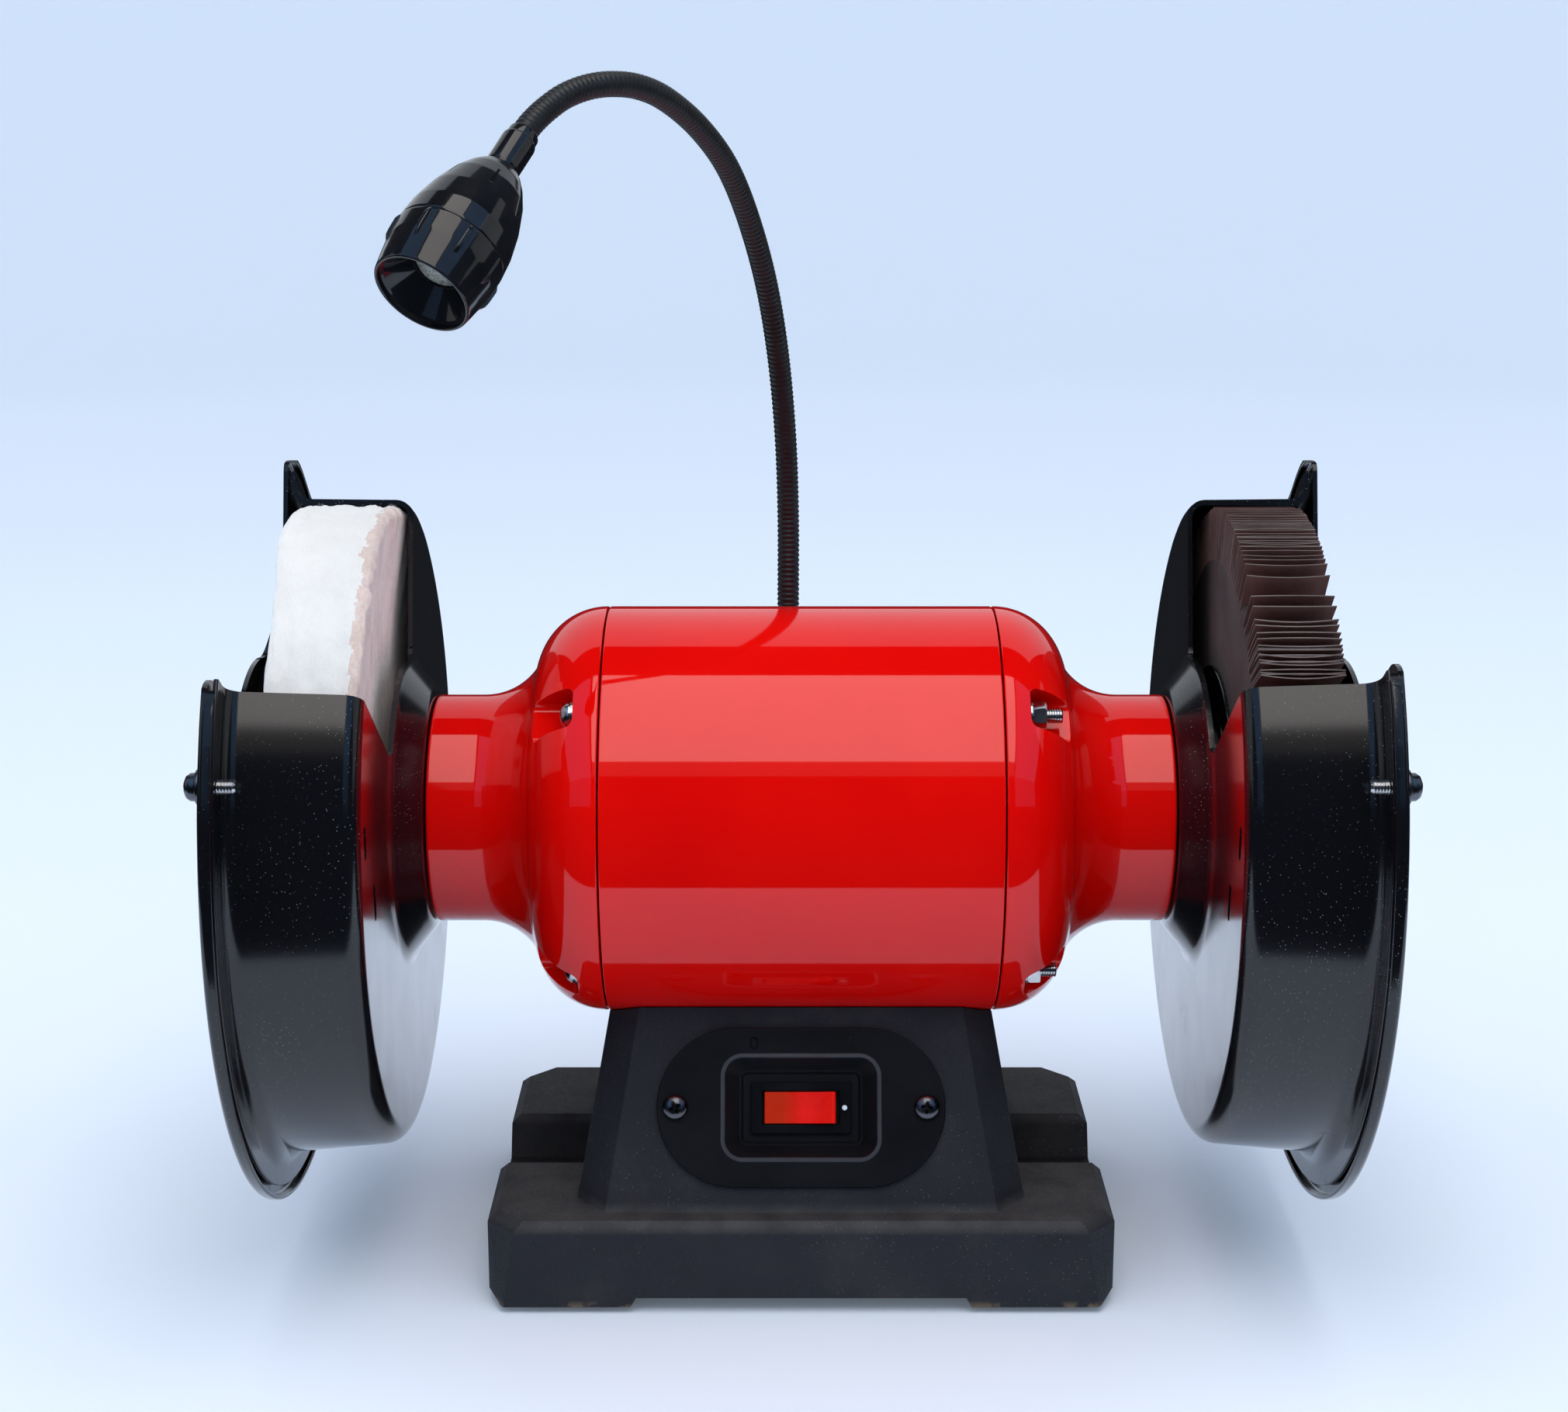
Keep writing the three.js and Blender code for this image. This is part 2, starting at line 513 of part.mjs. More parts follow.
function addMotor() {
  const motor = new THREE.Group();
  motor.position.z = SPINDLE_Z;
  model.add(motor);
  const caseEnd = CASE.halfLength - GAP / 2;
  const housing = tubeBetween(-caseEnd, caseEnd, CASE.radius, CASE.radius - CASE.wall, 1, 2 * BIG_STEPS);
  addPiece('stator_housing', housing, RED_PAINT, motor);
  addPiece('stator_core', makeStatorCore(), LAMINATION, motor);
  for (const [name, side] of Object.entries(SIDES)) {
    addPiece(`${name}_end_bell`, makeEndBell(side), RED_PAINT, motor);
    const coil = CORE.length / 2 + GAP;
    const section = [[coil, 36], [coil + 18, 38], [coil + 22, 44], [coil + 16, 50], [coil, 50]];
    const winding = turnedRing(section, side, MID_STEPS);
    addPiece(`${name}_winding`, winding, COPPER, motor);
    const { from, width, radius, bore } = BEARING;
    const race = tubeBetween(from, from + width, radius, bore, side, MID_STEPS);
    addPiece(`${name}_bearing`, race, STEEL, motor);
  }
  TIE_ANGLES.forEach((degrees, i) => {
    addPiece(`through_bolt_${i + 1}`, makeTieBolt(degrees), ZINC, motor);
    addPiece(`through_nut_${i + 1}`, makeTieNut(degrees), ZINC, motor);
  });
}

// ---------------------------------------------------------------- spindle and wheels
function addSpindle() {
  const spindle = new THREE.Group();
  spindle.position.z = SPINDLE_Z;
  model.add(spindle);
  const half = [
    [CORE.length / 2 + 6, SHAFT.core], [CORE.length / 2 + 6, SHAFT.body], [BEARING.from - 1, SHAFT.body],
    [BEARING.from - 1, SHAFT.seat], [FLANGE.start - 1, SHAFT.seat], [FLANGE.start - 1, SHAFT.wheel],
    [SHAFT.end - 1.5, SHAFT.wheel], [SHAFT.end, SHAFT.wheel - 1.5], [SHAFT.end, 0],
  ];
  const mirrored = half.map(([x, radius]) => [-x, radius]).reverse();
  addPiece('spindle_shaft', turned([...mirrored, ...half], 1, MID_STEPS), STEEL, spindle);
  const end = CORE.length / 2;
  const rotor = turnedRing([
    [-end - ROTOR.ringLength, SHAFT.core + GAP], [end + ROTOR.ringLength, SHAFT.core + GAP],
    [end + ROTOR.ringLength, ROTOR.endRing], [end, ROTOR.endRing], [end, ROTOR.radius],
    [-end, ROTOR.radius], [-end, ROTOR.endRing], [-end - ROTOR.ringLength, ROTOR.endRing],
  ], 1, MID_STEPS);
  addPiece('rotor_core', rotor, LAMINATION, spindle);
  const wheels = { left: BUFF, right: FLAP };
  for (const [name, side] of Object.entries(SIDES)) {
    addWheelClamp(spindle, name, side, wheels[name]);
  }
  addPiece('buff_wheel', turnedRing([
    [BUFF.from, FLANGE.bore], [BUFF.from, WHEEL_RADIUS - BUFF.worn], [BUFF.from + 1.5, WHEEL_RADIUS - 1.5],
    [BUFF.from + BUFF.worn, WHEEL_RADIUS], [BUFF.to - BUFF.worn, WHEEL_RADIUS],
    [BUFF.to - 1.5, WHEEL_RADIUS - 1.5], [BUFF.to, WHEEL_RADIUS - BUFF.worn], [BUFF.to, FLANGE.bore],
  ], SIDES.left), CLOTH, spindle);
  addPiece('flap_wheel_hub', tubeBetween(FLAP.from, FLAP.to, FLAP.hub - GAP, FLANGE.bore), STEEL, spindle);
  addPiece('flap_wheel_leaves', tubeBetween(FLAP.from, FLAP.to, WHEEL_RADIUS, FLAP.hub), ABRASIVE, spindle);
}

function addWheelClamp(spindle, name, side, wheel) {
  const inner = wheel.from - GAP;
  const outer = wheel.to + GAP;
  addPiece(`${name}_inner_flange`, turnedRing([
    [FLANGE.start, FLANGE.bore], [inner, FLANGE.bore], [inner, FLANGE.radius],
    [inner - FLANGE.thickness, FLANGE.radius], [inner - FLANGE.thickness, FLANGE.hub], [FLANGE.start, FLANGE.hub],
  ], side, MID_STEPS), ZINC, spindle);
  addPiece(`${name}_outer_flange`, turnedRing([
    [outer, FLANGE.bore], [outer, FLANGE.radius], [outer + 2, FLANGE.radius],
    [outer + FLANGE.thickness, FLANGE.radius - 6], [outer + FLANGE.thickness, FLANGE.bore],
  ], side, MID_STEPS), ZINC, spindle);
  const nut = fromSolid(hexNut(NUT.flats, NUT.height, FLANGE.bore));
  const nutX = outer + FLANGE.thickness + GAP + NUT.height / 2;
  addPiece(`${name}_spindle_nut`, nut.translate(side * nutX, 0, 0), ZINC, spindle);
}

// ---------------------------------------------------------------- guards
// A disc outline with an annular-sector notch at its upper front and rounded corners there.
// Shape x is world -Y, so the angles are measured upwards from the front.
function notchedDisc(radius, rearCorner, frontCorner, frontAngle) {
  const from = THREE.MathUtils.degToRad(NOTCH.back);
  const to = THREE.MathUtils.degToRad(frontAngle) + 2 * Math.PI;
  const turnOf = (corner) => Math.asin(corner / (radius - corner));
  const shape = new THREE.Shape();
  const round = (corner, turn, start, end) => {
    const reach = radius - corner;
    shape.absarc(reach * Math.cos(turn), reach * Math.sin(turn), corner, start, end, false);
  };
  const rear = from + turnOf(rearCorner);
  const front = to - turnOf(frontCorner);
  round(rearCorner, rear, from - Math.PI / 2, rear);
  shape.absarc(0, 0, radius, rear, front, false);
  round(frontCorner, front, front, to + Math.PI / 2);
  shape.absarc(0, 0, NOTCH.inner, to, from + 2 * Math.PI, false);
  return shape;
}

function cutNotch(geometry, side, ...outline) {
  const shape = notchedDisc(...outline);
  const blank = new THREE.ExtrudeGeometry(shape, { depth: 100, bevelEnabled: false, curveSegments: 32 });
  const turn = new THREE.Matrix4().makeBasis(
    new THREE.Vector3(0, -1, 0), new THREE.Vector3(0, 0, 1), new THREE.Vector3(-1, 0, 0));
  const start = side > 0 ? -200 : 100;
  return solid(geometry).intersect(solid(blank.translate(0, 0, start).applyMatrix4(turn)));
}

function between(low, high, value) {
  return THREE.MathUtils.clamp((value - low) / (high - low), 0, 1);
}

// How far a point of a guard or cover is drawn in where the drawing-in is full.
function drawnInDepth(x, radius, angle) {
  const { drum, drumEnd, ear, rim, earTo } = DRAWN_IN;
  const atDrum = THREE.MathUtils.lerp(drum, drumEnd, between(GUARD.plate, GUARD_RIM.x, x));
  const atRim = THREE.MathUtils.lerp(ear, rim, THREE.MathUtils.smoothstep(angle, NOTCH.back, earTo));
  return THREE.MathUtils.lerp(atDrum, atRim, between(GUARD.drumEnd, GUARD_RIM.radius, radius));
}

// Draws the upper rear of a guard or cover in towards the spindle, and leaves the rest of it round.
function drawnIn(body) {
  const { from, fullFrom, fullTo, to, start, steady } = DRAWN_IN;
  return body.warp((at) => {
    const radius = Math.max(1, Math.hypot(at[1], at[2]));
    const angle = (THREE.MathUtils.radToDeg(Math.atan2(at[2], -at[1])) + 360) % 360;
    const rise = THREE.MathUtils.smoothstep(angle, from, fullFrom);
    const fall = THREE.MathUtils.smoothstep(angle, fullTo, to);
    const share = rise * (1 - fall) * THREE.MathUtils.smoothstep(radius, start, steady);
    const scale = 1 - share * drawnInDepth(Math.abs(at[0]), radius, angle) / radius;
    at[1] *= scale;
    at[2] *= scale;
  });
}

function makeGuard(side, frontAngle) {
  const { face, bore, coneTop, coneFoot, plate, drum, drumEnd } = GUARD;
  const rim = GUARD_RIM;
  const inner = drumEnd - SHEET;
  const profile = [
    [face, bore], [face, coneTop], [plate, coneFoot], [plate, drum - 3], [plate + 0.9, drum - 0.9],
    [plate + 3, drum], [rim.x, drumEnd], [rim.x, rim.radius], [rim.x + SHEET, rim.radius], [rim.x + SHEET, inner],
    [plate + 3, drum - SHEET], [plate + SHEET, drum - 3], [plate + SHEET, coneFoot - 0.6],
    [face + SHEET, coneTop - 0.6], [face + SHEET, bore],
  ];
  return cutNotch(turnedRing(profile, side), side, rim.radius + 6, 6, 6, frontAngle);
}

function makeCover(side, frontAngle) {
  const { inside, radius, lip, domeFoot, domeTop, rearCorner, frontCorner } = COVER;
  const out = inside + SHEET;
  const dome = DOME_STEPS.map((share) => {
    const height = (domeTop - out) * (1 - share ** 2.2) ** 0.9;
    return [out + height, domeFoot * share];
  });
  const domeInside = [...dome.map(([x, r]) => [x - SHEET, r]), [domeTop - SHEET, 0]];
  const profile = [
    ...domeInside.reverse(), [inside, radius - 4], [inside - 2, radius - SHEET], [lip, radius - SHEET],
    [lip, radius], [inside - 1, radius], [out - 0.5, radius - 1.5], [out, radius - 4], ...dome, [domeTop, 0],
  ];
  return cutNotch(turned(profile, side), side, radius + 0.01, rearCorner, frontCorner, frontAngle);
}

// A pan-head screw with a captive washer, along +X from its seat at x = 0.
function makeCoverScrew() {
  const { head, washer, radius, tip } = COVER_SCREW;
  const length = COVER.inside + SHEET + GAP - tip;
  return turned([
    [-length, 0], [-length, radius * 0.7], [-length + 1, radius], [0, radius], [0, washer], [1.5, washer],
    [1.5, head], [3.6, head], [4.6, head * 0.7], [5, head * 0.3], [5, 0],
  ], 1, SMALL_STEPS);
}

function addGuard(guards, name, side) {
  const head = COVER.inside + SHEET + GAP;
  const holes = COVER_SCREW.angles.map((degrees, i) => {
    const lift = THREE.MathUtils.degToRad(degrees);
    const place = [-COVER_SCREW.circle * Math.cos(lift), COVER_SCREW.circle * Math.sin(lift)];
    const shank = makeCoverScrew().rotateZ(side < 0 ? Math.PI : 0);
    addPiece(`${name}_cover_screw_${i + 1}`, shank.translate(side * head, ...place), GLOSS_BLACK, guards);
    return cylinderAlong('x', COVER_SCREW.radius + GAP, 40, SMALL_STEPS).translate(side * 168, ...place);
  });
  const drill = (body) => holes.reduce((left, hole) => left.subtract(solid(hole)), body);
  addPiece(`${name}_guard`, drill(drawnIn(makeGuard(side, NOTCH.front[name]))), GLOSS_BLACK, guards);
  addPiece(`${name}_guard_cover`, drill(drawnIn(makeCover(side, NOTCH.coverFront[name]))), GLOSS_BLACK, guards);
}

function addGuards() {
  const guards = new THREE.Group();
  guards.position.z = SPINDLE_Z;
  model.add(guards);
  for (const [name, side] of Object.entries(SIDES)) {
    addGuard(guards, name, side);
  }
}

// ---------------------------------------------------------------- lamp
function makeGooseneckLength(route, index) {
  const points = route.map(([x, y, z]) => new THREE.Vector3(x, y, z));
  const curve = new THREE.CatmullRomCurve3(points, false, 'centripetal');
  const length = curve.getLength();
  const trimmed = [];
  const start = index === 0 ? 0 : JOINT_GAP / length;
  const steps = Math.max(3, Math.round(length / 16));
  for (let i = 0; i <= steps; i += 1) {
    trimmed.push(curve.getPointAt(Math.min(1, start + (1 - start) * i / steps)));
  }
  const section = new THREE.Shape();
  section.absarc(0, 0, NECK_TUBE_RADIUS, 0, 2 * Math.PI);
  const path = new THREE.CatmullRomCurve3(trimmed, false, 'centripetal');
  const options = { steps, extrudePath: path, bevelEnabled: false, curveSegments: 5 };
  return new THREE.ExtrudeGeometry(section, options);
}

// Turns a piece made along +X, from the nose of the lamp head, to lie along the head's own axis.
function alongHead(geometry) {
  const turn = new THREE.Quaternion().setFromUnitVectors(new THREE.Vector3(1, 0, 0), HEAD_WAY);
  return geometry.applyQuaternion(turn).translate(...HEAD_NOSE.toArray());
}

function makeLampBracket() {
  const { width, depth, height, y, z } = LAMP_BRACKET;
  const box = solid(new THREE.BoxGeometry(width, depth, height).translate(LAMP_FOOT.x, y, SPINDLE_Z + z));
  const caseRound = cylinderAlong('x', CASE.radius + GAP, 60, 2 * BIG_STEPS).translate(0, 0, SPINDLE_Z);
  const bore = cylinderAlong('z', LAMP_FOOT.bore, 80, MID_STEPS).translate(LAMP_FOOT.x, LAMP_FOOT.y, SPINDLE_Z);
  return box.subtract(solid(caseRound)).subtract(solid(bore));
}

function addLamp() {
  addPiece('lamp_bracket', makeLampBracket(), BLACK_PLASTIC);
  const inside = LAMP_FOOT.bore;
  const nut = turnedRing([[0, inside], [0, 8], [6, 8], [9, 6], [9, inside]], 1, MID_STEPS).rotateY(-Math.PI / 2);
  nut.translate(LAMP_FOOT.x, LAMP_FOOT.y, SPINDLE_Z + LAMP_FOOT.top + GAP);
  addPiece('gooseneck_nut', nut, BLACK_PLASTIC);
  const names = ['lower', 'middle', 'upper'];
  GOOSENECK_ROUTE.forEach((route, i) => {
    const length = makeGooseneckLength(route, i).translate(0, 0, SPINDLE_Z);
    addPiece(`gooseneck_${names[i]}`, length, RUBBER);
  });
  addPiece('lamp_collar', alongHead(turned([
    [-HEAD.collar, 0], [-HEAD.collar, 4.8], [-HEAD.collar + 1, 5.3], [-1, 5.3], [-GAP, 5], [-GAP, 0],
  ], 1, MID_STEPS)), GLOSS_BLACK);
  addPiece('lamp_shell', alongHead(turnedRing([
    [0, 2.5], [0, 5.6], [4, 8.8], [10, 12], [18, 14.6], [26, 16.3], [HEAD.seam, 16.9],
    [HEAD.seam, 15.1], [26, 14.5], [18, 12.8], [10, 10.2], [4, 7], [2, 2.5],
  ], 1, MID_STEPS)), GLOSS_BLACK);
  addPiece('lamp_bezel', alongHead(turnedRing([
    [HEAD.seam + GAP, 16.9], [40, 16.6], [47, 15.5], [HEAD.length, 14.8], [HEAD.length, 13.9], [40, 14.4],
    [HEAD.seam + GAP, 15.1],
  ], 1, MID_STEPS)), GLOSS_BLACK);
  addPiece('lamp_reflector', alongHead(turnedRing([
    [HEAD.length - 2, 13.5], [41, 7.6], [38, 7.6], [38, 13.5],
  ], 1, MID_STEPS)), GLOSS_BLACK);
  const lens = turned([[36, 0], [36, 7.2], [40, 7.2], [40.6, 6], [40.6, 0]], 1, MID_STEPS);
  addPiece('lamp_lens', alongHead(lens), LENS);
}

addBase();
addSwitch();
addMotor();
addSpindle();
addGuards();
addLamp();

export default model;
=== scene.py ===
"""Looks of the bench grinder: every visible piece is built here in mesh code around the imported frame.

Shapes are written in millimetres and brought to metres when a piece is made. Most pieces are turned
about the spindle, so their outlines are lists of (x, radius), with x along the spindle.
"""

import json
import math
import random

import bmesh
import bpy
from mathutils import Matrix, Vector, noise


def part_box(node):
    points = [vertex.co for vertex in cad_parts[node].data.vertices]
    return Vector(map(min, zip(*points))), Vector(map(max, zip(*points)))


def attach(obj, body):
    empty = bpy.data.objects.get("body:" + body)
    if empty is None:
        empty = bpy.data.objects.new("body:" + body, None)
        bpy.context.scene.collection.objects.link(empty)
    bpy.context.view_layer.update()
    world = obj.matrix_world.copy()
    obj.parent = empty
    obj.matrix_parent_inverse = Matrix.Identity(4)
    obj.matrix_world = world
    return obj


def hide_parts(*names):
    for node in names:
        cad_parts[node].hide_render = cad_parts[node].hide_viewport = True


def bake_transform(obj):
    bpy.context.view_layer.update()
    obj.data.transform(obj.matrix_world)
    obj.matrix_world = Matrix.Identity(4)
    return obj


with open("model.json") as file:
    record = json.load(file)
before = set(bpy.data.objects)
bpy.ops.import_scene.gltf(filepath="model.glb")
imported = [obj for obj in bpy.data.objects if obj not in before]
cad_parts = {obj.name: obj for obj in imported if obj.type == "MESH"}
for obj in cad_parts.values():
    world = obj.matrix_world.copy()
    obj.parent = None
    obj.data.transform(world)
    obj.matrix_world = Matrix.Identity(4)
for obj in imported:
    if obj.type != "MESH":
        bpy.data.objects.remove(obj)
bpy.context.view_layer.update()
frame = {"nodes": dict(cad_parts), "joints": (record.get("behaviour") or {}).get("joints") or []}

MM = 0.001
SIDES = {"left": -1, "right": 1}
RNG = random.Random(7)


def shift(x, y, z):
    return Matrix.Translation((x, y, z))


def spin(degrees, axis):
    return Matrix.Rotation(math.radians(degrees), 4, axis)


def node_mm(name):
    """A CAD node's lowest and highest corners in millimetres."""
    low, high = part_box(name)
    return low / MM, high / MM


def middle_mm(name):
    low, high = node_mm(name)
    return (low + high) / 2


SPINDLE_Z = middle_mm("spindle_shaft").z
ON_SPINDLE = shift(0, 0, SPINDLE_Z)


# ---------- outlines
def arc(cx, cy, radius, start, end, steps):
    """Points of an arc from start to end, in degrees."""
    turns = [math.radians(start + (end - start) * i / steps) for i in range(steps + 1)]
    return [(cx + radius * math.cos(t), cy + radius * math.sin(t)) for t in turns]


def rounded(points, radii, steps=5):
    """A closed outline with each corner rounded by its own radius (0 keeps it sharp)."""
    made = []
    count = len(points)
    for i, radius in enumerate(radii):
        corner = Vector(points[i])
        if radius == 0:
            made.append(tuple(corner))
            continue
        before = (Vector(points[i - 1]) - corner).normalized()
        after = (Vector(points[(i + 1) % count]) - corner).normalized()
        half = before.angle(after) / 2
        reach = radius / math.tan(half)
        centre = corner + (before + after).normalized() * radius / math.sin(half)
        first = corner + before * reach - centre
        sweep = first.angle_signed(corner + after * reach - centre)
        for j in range(steps + 1):
            turn = -sweep * j / steps
            c, s = math.cos(turn), math.sin(turn)
            made.append((centre.x + first.x * c - first.y * s, centre.y + first.x * s + first.y * c))
    return made


def round_rect(width, height, radius, per_corner=10):
    """A rounded rectangle about the origin, counter-clockwise, always 4 * (per_corner + 1) points."""
    made = []
    for quarter in range(4):
        sx = 1 if quarter in (0, 3) else -1
        sy = 1 if quarter in (0, 1) else -1
        centre = (sx * (width / 2 - radius), sy * (height / 2 - radius))
        made += arc(*centre, radius, 90 * quarter, 90 * quarter + 90, per_corner)
    return made


def round_rect_rings(sections, per_corner):
    """Rings for a loft: a rounded rectangle for each (width, height, corner radius, z)."""
    return [[(x, y, z) for x, y in round_rect(w, h, r, per_corner)] for w, h, r, z in sections]


# ---------- shares
def share_between(low, high, value):
    """0 at low and 1 at high, and never outside that."""
    return min(1.0, max(0.0, (value - low) / (high - low)))


def smooth_step(low, high, value):
    share = share_between(low, high, value)
    return share * share * (3 - 2 * share)


def between(low, high, share):
    return low + (high - low) * share


# ---------- mesh building
def turned(profile, steps, side=1, closed=True):
    """A body turned about the X axis. The angle runs from the front horizontal upwards."""
    bm = bmesh.new()
    rings = []
    for x, radius in profile:
        if radius < 1e-6:
            rings.append([bm.verts.new((x * side, 0, 0))])
            continue
        ring = []
        for i in range(steps):
            turn = 2 * math.pi * i / steps
            ring.append(bm.verts.new((x * side, -radius * math.cos(turn), radius * math.sin(turn))))
        rings.append(ring)
    pairs = list(zip(rings, rings[1:]))
    if closed:
        pairs.append((rings[-1], rings[0]))
    for one, two in pairs:
        for i in range(steps):
            j = (i + 1) % steps
            corners = [one[i % len(one)], one[j % len(one)], two[j % len(two)], two[i % len(two)]]
            corners = list(dict.fromkeys(corners))
            if len(corners) > 2:
                bm.faces.new(corners)
    bmesh.ops.recalc_face_normals(bm, faces=bm.faces)
    return bm


def solid_turned(profile, steps, side=1):
    """A turned body whose profile starts and ends on the axis."""
    return turned(profile, steps, side, closed=False)


def loft(rings, loop=False):
    """Joins equal-length rings of 3-D points, with end caps or as a closed loop of rings."""
    bm = bmesh.new()
    made = [[bm.verts.new(p) for p in ring] for ring in rings]
    pairs = list(zip(made, made[1:]))
    if loop:
        pairs.append((made[-1], made[0]))
    for one, two in pairs:
        count = len(one)
        for i in range(count):
            j = (i + 1) % count
            bm.faces.new((one[i], one[j], two[j], two[i]))
    if not loop:
        bm.faces.new(list(reversed(made[0])))
        bm.faces.new(made[-1])
    bmesh.ops.recalc_face_normals(bm, faces=bm.faces)
    return bm


def prism(outline, z0, z1):
    return loft([[(x, y, z0) for x, y in outline], [(x, y, z1) for x, y in outline]])


def box(size, centre=(0, 0, 0)):
    bm = bmesh.new()
    bmesh.ops.create_cube(bm, size=1)
    bmesh.ops.scale(bm, vec=size, verts=bm.verts)
    bmesh.ops.translate(bm, vec=centre, verts=bm.verts)
    return bm


def rounded_box(size, radius, centre, segments=4):
    bm = box(size, centre)
    bmesh.ops.bevel(bm, geom=bm.edges, offset=radius, segments=segments, profile=0.5, affect="EDGES")
    return bm


def hull(points):
    bm = bmesh.new()
    verts = [bm.verts.new(p) for p in points]
    made = bmesh.ops.convex_hull(bm, input=verts)
    loose = [v for v in made["geom_unused"] if isinstance(v, bmesh.types.BMVert)]
    bmesh.ops.delete(bm, geom=loose, context="VERTS")
    flat = math.radians(1)
    bmesh.ops.dissolve_limit(bm, angle_limit=flat, verts=bm.verts, edges=bm.edges)
    return bm


def tapered_box(low, z0, high, z1):
    points = []
    for (sx, sy), z in ((low, z0), (high, z1)):
        points += [(sx / 2 * u, sy / 2 * v, z) for u in (-1, 1) for v in (-1, 1)]
    return hull(points)


def moved(bm, *matrices):
    for matrix in matrices:
        bm.transform(matrix)
    return bm


def joined(*bodies):
    """Several separate bodies in one mesh."""
    whole = bodies[0]
    for other in bodies[1:]:
        spare = bpy.data.meshes.new("spare")
        other.to_mesh(spare)
        whole.from_mesh(spare)
        bpy.data.meshes.remove(spare)
        other.free()
    return whole


def linked(name, data):
    """A new object in the scene."""
    made = bpy.data.objects.new(name, data)
    bpy.context.scene.collection.objects.link(made)
    return made


def mesh_object(name, bm, materials=()):
    """An object made from bm, which is used up."""
    mesh = bpy.data.meshes.new(name)
    bm.to_mesh(mesh)
    bm.free()
    for each in materials:
        mesh.materials.append(each)
    return linked(name, mesh)


def evaluated_bmesh(obj):
    bpy.context.view_layer.update()
    graph = bpy.context.evaluated_depsgraph_get()
    bm = bmesh.new()
    bm.from_object(obj, graph)
    return bm


def discard(obj):
    mesh = obj.data
    bpy.data.objects.remove(obj)
    bpy.data.meshes.remove(mesh)


def combined(bm, others, operation="DIFFERENCE"):
    """A boolean of bm with each of the other bodies in turn."""
    body = mesh_object("spare", bm)
    tools = [mesh_object("spare", other) for other in others]
    for tool in tools:
        cut = body.modifiers.new("cut", "BOOLEAN")
        cut.operation = operation
        cut.solver = "EXACT"
        cut.object = tool
    made = evaluated_bmesh(body)
    for obj in [body, *tools]:
        discard(obj)
    return made


def eased(bm, width, angle=32, segments=2):
    """Rounds every edge that is sharper than the angle."""
    body = mesh_object("spare", bm)
    bevel = body.modifiers.new("ease", "BEVEL")
    bevel.width = width
    bevel.segments = segments
    bevel.limit_method = "ANGLE"
    bevel.angle_limit = math.radians(angle)
    bevel.use_clamp_overlap = True
    bevel.miter_outer = "MITER_ARC"
    made = evaluated_bmesh(body)
    discard(body)
    return made


def piece(name, bm, material, node=None, body="grinder_frame", smooth=40):
    """Makes a piece, in metres, that rides on its body and stands for one CAD node."""
    bmesh.ops.scale(bm, vec=(MM, MM, MM), verts=bm.verts)
    made = mesh_object(name, bm, material if isinstance(material, list) else [material])
    made.data.shade_smooth()
    made.data.set_sharp_from_angle(angle=math.radians(smooth))
    made.modifiers.new("flat_faces", "WEIGHTED_NORMAL").keep_sharp = True
    if body:
        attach(made, body)
    if node:
        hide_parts(node)
    return made


